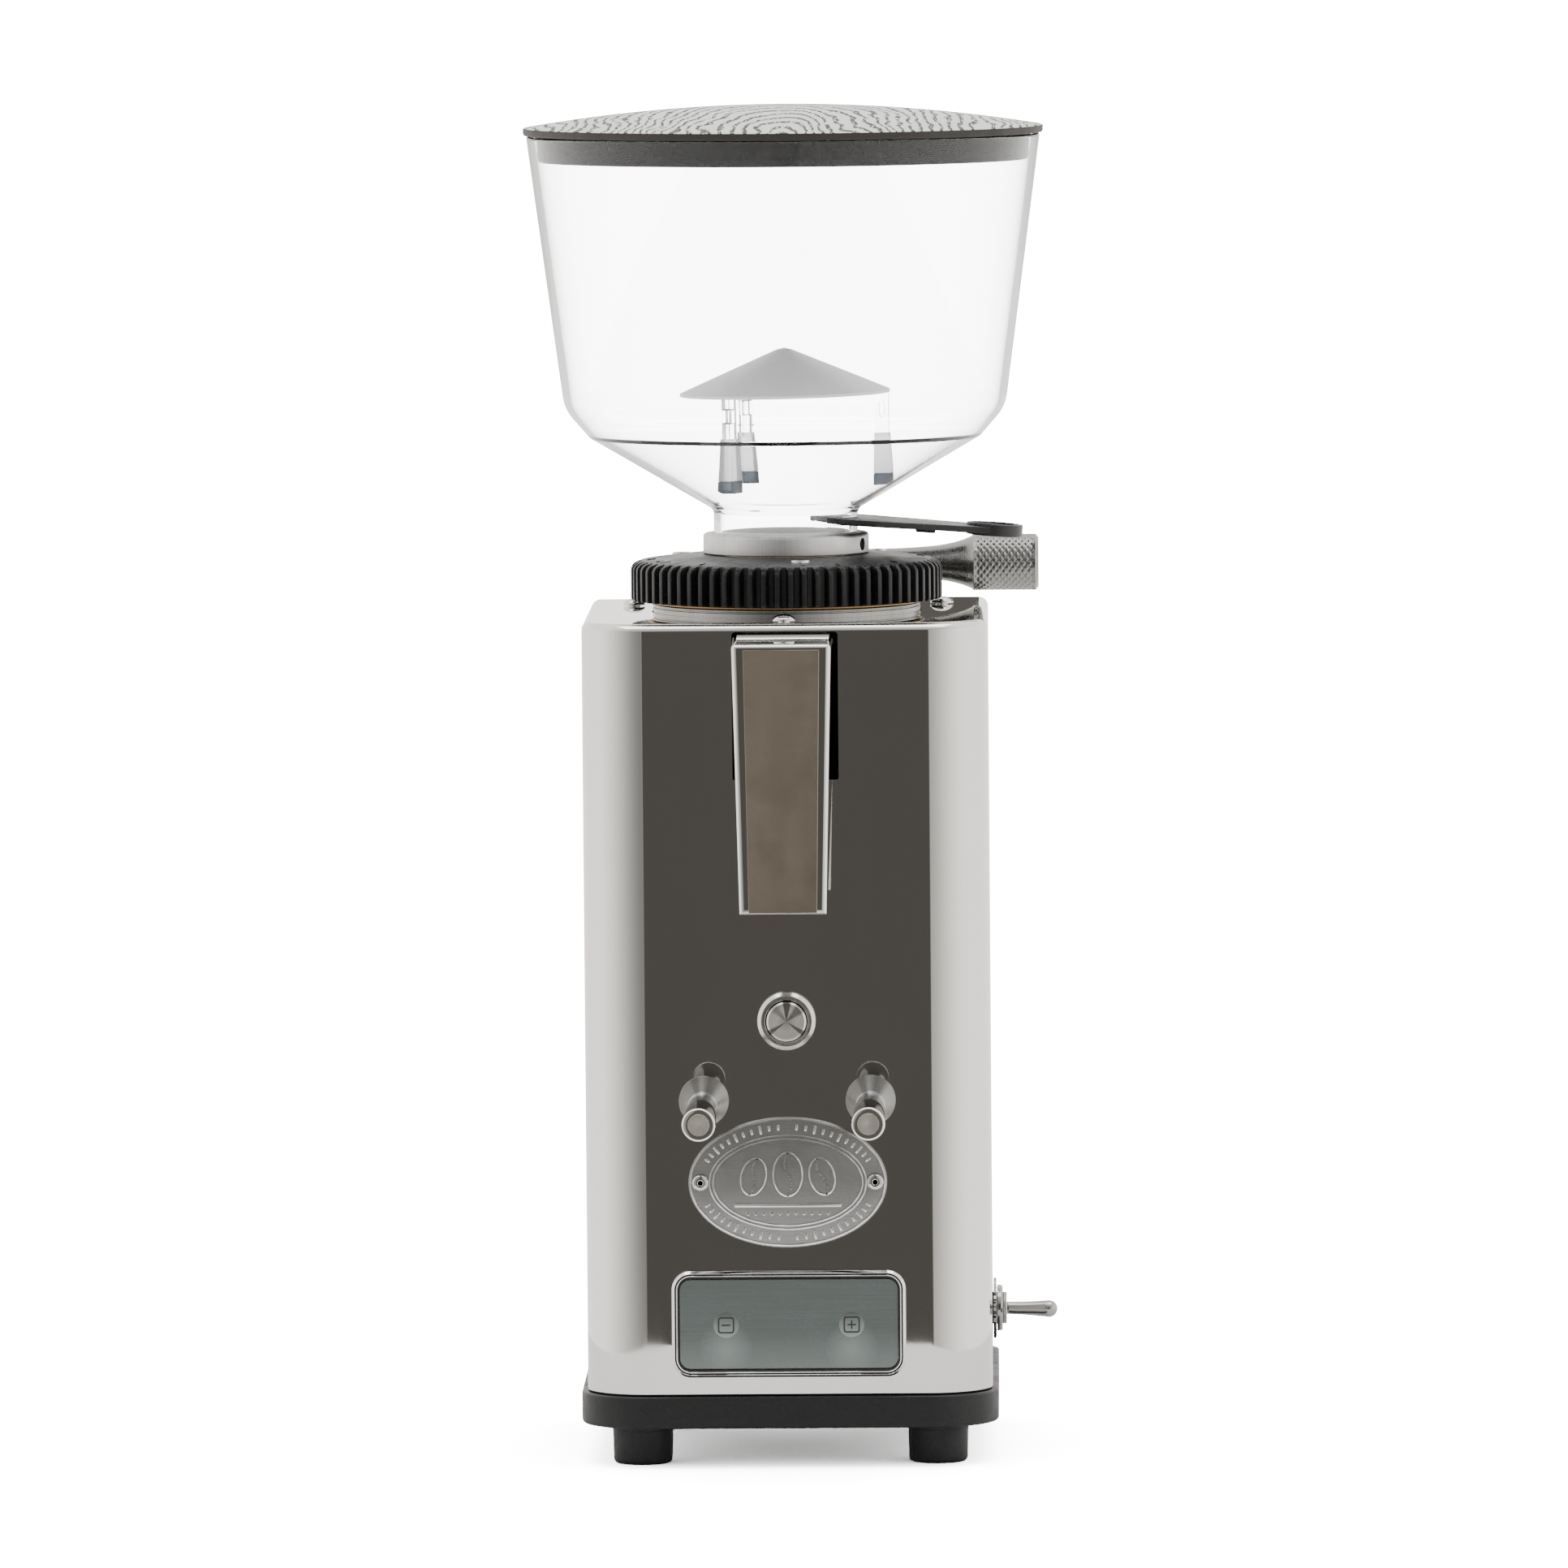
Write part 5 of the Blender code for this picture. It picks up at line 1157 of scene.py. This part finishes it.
def make_display():
    where = on_front(0, DISPLAY_Z)

    def outline(half_width, half_height, radius):
        return lambda inset: oblong(half_width - inset, half_height - inset, max(radius - inset, 0.2), 12)

    edge = outline(38.2, 17.45, 6.2)
    outer = [(0, 0.3, 0), (0, 1.9, 0.3), (0.8, 3.0, 0.2), (0.93, 2.9, 0.05), (0.95, 2.0, 0), (0.95, 0.3, 0)]
    inner = [(1.45, 0.3, 0), (1.45, 2.5, 0), (1.5, 2.85, 0.1), (1.75, 2.95, 0.15), (1.95, 2.6, 0.1)]
    inner.append((2.0, 0.3, 0))
    bezel = gathered([swept(edge, softened(ring, 0.1, 3)) for ring in (outer, inner)])
    piece("display_bezel", moved(bezel, where), BRIGHT_TRIM, "display_frame", flat=True)
    gaskets = []
    for start, end, height in ((0.96, 1.44, 2.0), (2.01, 2.45, 2.55)):
        gaskets.append(swept(edge, [(start, 0.3), (start, height), (end, height), (end, 0.3)]))
    piece("display_gasket", moved(gathered(gaskets), where), GATE_PLASTIC, flat=True)
    level = 2.4
    pane = slab(outline(35.7, 14.65, 3.5), 0.3, level, 0.1, 0.3, 3)
    piece("display_pane", moved(pane, where), GLASS_FACE, "display_glass", flat=True)
    discs, signs = [], []
    for x in (-KEY_X, KEY_X):
        spot = at(x, -0.3)
        discs.append(moved(rod(4.15, level - 0.1, level + 0.03), spot))
        border = plain_slab(oblong(2.65, 2.65, 0.9), level, level + 0.07)
        border = combined(border, [plain_slab(oblong(2.2, 2.2, 0.55), level - 1, level + 1)])
        signs.append(moved(border, spot))
        signs.append(moved(box((-1.4, -0.23, level), (1.4, 0.23, level + 0.07)), spot))
        if x > 0:
            signs.append(moved(box((-0.23, -1.4, level), (0.23, 1.4, level + 0.068)), spot))
    piece("key_lights", moved(gathered(discs), where), KEY_DISC_PAINTED_SHADE)
    piece("key_signs", moved(gathered(signs), where), INK)


# Side switch and cord inlet


def serrated(radius, height, angle):
    """The fine teeth round the switch's washer, which stop short of its outer face."""
    return radius - 0.175 * (1 + math.cos(24 * angle)) if height < SIDE + 1.3 else radius


def make_toggle():
    """The power switch: a serrated washer, a slotted round nut and a tapered lever."""
    where = on_right(TOGGLE_Y, TOGGLE_Z)
    seat = SIDE + 0.3
    washer = [(5.7, seat + 1.1), (9.4, seat + 1.1), (10.0, seat + 0.9), (10.0, seat + 0.1), (9.6, seat)]
    washer = turned([*washer, (5.7, seat)], 192, closed=True, shape=serrated)
    nut = [(5.7, 69.8, 0.2), (7.2, 69.8, 0.3), (7.6, 69.2, 0.2), (7.6, 67.9, 0.2), (5.7, 67.9, 0.1)]
    slots = [moved(box((5, -0.7, 69.0), (9, 0.7, 71)), spin(90 * i)) for i in range(4)]
    nut = gathered([washer, combined(lathe(nut, 0.2, 96, ring=True), slots)])
    piece("switch_nut", moved(nut, where), NUT_STEEL, "toggle_nut")
    bushing = [(0, 50), (5.4, 50)] + [(5.4 - 0.28 * (i % 2), 63.5 + 0.3 * i) for i in range(26)]
    bushing = moved(turned([*bushing, (4.9, 71.2), (3.1, 67.5), (3.1, 64.3), (0, 64.3)], 64), where)
    low, high = span("toggle_body")
    block = bevelled(box(low, (SIDE - SHEET - 0.3, high.y, high.z)), 0.6, 3)
    block = combined(combined(block, [bushing], "UNION"), [moved(rod(3.1, 64.3, 80), where)])
    piece("switch_body", block, SATIN_STEEL, "toggle_body")
    reach, lean = 67.5, -12
    tip = (span("toggle_lever")[1].x - reach - 2.85) / math.cos(math.radians(lean))
    lever = [(0, tip + 2.85)]
    lever += [(2.85 * math.cos(a), tip + 2.85 * math.sin(a)) for a in np.linspace(1.35, 0, 8)]
    lever += [(2.75, tip - 1.0), (2.45, tip - 4.5), (2.2, tip - 9), (2.05, 2.0), (2.6, 0), (1.8, -1.9)]
    lever = moved(turned([*lever, (0, -2.6)], 64), at(reach, TOGGLE_Y, TOGGLE_Z) @ spin(lean) @ spin(90, "Y"))
    piece("switch_bat", lever, LEVER_STEEL, "toggle_lever", body="switch_lever")


def make_gland():
    profile = [(5.0, 11, 0.5), (5.2, 9.6), (5.9, 9.4), (5.9, 8.4), (5.4, 8.2), (5.5, 7.2), (6.1, 7.0)]
    profile += [(6.1, 6.0), (5.7, 5.8), (6.3, 3.6, 0.5), (9.0, 3.4, 0.5), (9.0, 0.3), (6.2, 0.3)]
    gland = lathe([*profile, (6.2, -9), (3.6, -9), (3.6, 11, 0.5)], 0.2, 72, ring=True)
    flats = [moved(box((8.2, -12, -1), (14, 12, 5)), spin(60 * i)) for i in range(6)]
    piece("inlet_gland", moved(combined(gland, flats), on_rear(*GLAND)), SEAL_PLASTIC, "cord_gland")


# Inner pieces, which keep their CAD shapes


def dress_inner_pieces():
    finishes = (
        (CAST, ("lower_burr_carrier", "motor_bell_top", "motor_bell_bottom")),
        (SATIN_ALUMINIUM, ("capacitor",)),
        (SATIN_STEEL, ("fork_nut_left", "fork_nut_right", "shaft_nut")),
        (BURR, ("lower_burr", "upper_burr", "motor_shaft", "bearing_top", "bearing_bottom")),
        (MOTOR, ("stator", "rotor")),
        (SEAL_PLASTIC, ("cooling_fan", "button_switch")),
        (BOARD, ("control_board", "display_board")),
    )
    for finish, names in finishes:
        for name in names:
            for material_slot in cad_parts[name].material_slots:
                material_slot.material = finish


# Floor, lights and camera


def stage_object(name, points, faces, paint):
    mesh = bpy.data.meshes.new(name)
    mesh.from_pydata(points, [], faces)
    mesh.materials.append(paint)
    obj = in_scene(name, mesh)
    return obj


def make_floor():
    """A white floor that runs out into a white room."""
    paint = bpy.data.materials.new("floor_paint")
    nodes = Nodes(paint)
    shader = nodes.tree.nodes["Principled BSDF"].inputs
    shader["Roughness"].default_value = 0.9
    shader["Specular IOR Level"].default_value = 0.0
    seen, lit = (10.0, 10.0, 10.0, 1), (0.8, 0.8, 0.79, 1)
    nodes.put(shader["Base Color"], nodes.blended(nodes.seen_directly(), lit, seen))
    rim = [(ROOM * math.cos(math.pi * i / 32), ROOM * math.sin(math.pi * i / 32), 0) for i in range(64)]
    stage_object("floor", rim, [tuple(range(64))], paint)


def room_cloth():
    """Light that follows the direction from the panel: dark within the aisle, pale on both sides."""
    cloth = bpy.data.materials.new("room_cloth")
    nodes = Nodes(cloth)
    x, y, _ = nodes.split(nodes.node("ShaderNodeTexCoord").outputs["Object"])
    before_panel = nodes.minus(FRONT * MM + AXIS.y, y)
    beside_left = nodes.maths("ARCTAN2", nodes.plus(x, PANEL_HALF), before_panel)
    beside_right = nodes.maths("ARCTAN2", nodes.minus(x, PANEL_HALF), before_panel)
    aisle_left = nodes.spread(beside_left, math.radians(-3.8), math.radians(-3.0), 1, 0)
    aisle_right = nodes.spread(beside_right, math.radians(5.7), math.radians(7.5))
    beyond = nodes.maths("MAXIMUM", aisle_left, aisle_right)
    turn = nodes.plus(nodes.maths("ARCTAN2", x, nodes.times(y, -1)), math.radians(0.9))
    ahead = nodes.maths("MAXIMUM", nodes.maths("COSINE", turn), 0)
    right = nodes.spread(turn, -0.1, 0.1)
    fall = nodes.maths("POWER", ahead, nodes.spread(right, 0, 1, 1.5, 2.6))
    pale = nodes.minus(2.3, nodes.times(fall, nodes.spread(right, 0, 1, 1.98, 1.64)))
    glow = nodes.node("ShaderNodeEmission")
    colour = nodes.blended(beyond, (1.0, 0.93, 0.85, 1), (1.0, 0.975, 0.935, 1))
    nodes.filled(glow, (colour, nodes.mixed(beyond, 0.115, pale)))
    nodes.put(nodes.tree.nodes["Material Output"].inputs["Surface"], glow.outputs[0])
    return cloth


def make_room_card():
    """What polished faces mirror beyond the floor: a pale room with a dark aisle towards the front.

    Only reflections see it. A narrow dark strip also lies behind the object.
    """
    near, steps = 0.382, 192
    points, faces = [], []
    for i in range(steps + 1):
        turn = 2 * math.pi * i / steps
        side, front = math.cos(turn), -math.sin(turn)
        for reach, height in ((near, 0.001), (ROOM, 0.001), (ROOM, 3.0)):
            points.append((reach * side, reach * front, height))
    for i in range(steps):
        for first in (3 * i, 3 * i + 1):
            faces.append((first, first + 1, first + 4, first + 3))
    card = stage_object("room_card", points, faces, room_cloth())
    card.visible_camera = False
    card.visible_diffuse = False
    card.visible_transmission = False
    card.visible_shadow = False


def make_world():
    """White where it is seen, and a soft room that darkens towards the front where it gives light."""
    world = bpy.data.worlds.new("room")
    bpy.context.scene.world = world
    nodes = Nodes(world)
    _, y, _ = nodes.split(nodes.node("ShaderNodeTexCoord").outputs["Generated"])
    towards_front = nodes.maths("MAXIMUM", nodes.times(y, -1), 0)
    room = nodes.minus(2.05, nodes.times(nodes.maths("POWER", towards_front, 1.5), 1.72))
    background = nodes.tree.nodes["Background"].inputs
    background["Color"].default_value = (1, 0.995, 0.985, 1)
    nodes.put(background["Strength"], nodes.mixed(nodes.seen_directly(), room, 30.0))


def make_softbox():
    lamp = bpy.data.lights.new("top_softbox", "AREA")
    lamp.shape = "RECTANGLE"
    lamp.size, lamp.size_y = 1.4, 1.0
    lamp.energy = 14
    obj = in_scene("top_softbox", lamp)
    obj.location = (0, -0.2, 1.6)
    obj.rotation_euler = (Vector((0, 0.03, 0.2)) - obj.location).to_track_quat("-Z", "Y").to_euler()


def make_camera():
    camera = bpy.data.cameras.new("camera")
    camera.lens = 320.6
    camera.sensor_width = 36
    camera.clip_start = 0.05
    camera.clip_end = 50
    obj = in_scene("camera", camera)
    start = AXIS + Vector((74.2, -4600, 573)) * MM
    target = AXIS + Vector((-0.2, -69, 230.7)) * MM
    tilt = Quaternion((0, 0, 1), -0.0081)
    obj.location = start
    obj.rotation_euler = ((target - start).to_track_quat("-Z", "Y") @ tilt).to_euler()
    bpy.context.scene.camera = obj


def build():
    for make in (
        (make_housing, make_base, make_feet, make_chamber, make_carrier, make_gear, make_knob, make_collar)
        + (make_hopper, make_gate, make_guard, make_lid, make_chute, make_button, make_fork, make_badge)
        + (make_display, make_toggle, make_gland, dress_inner_pieces, make_floor, make_room_card)
        + (make_world, make_softbox, make_camera)
    ):
        make()


build()
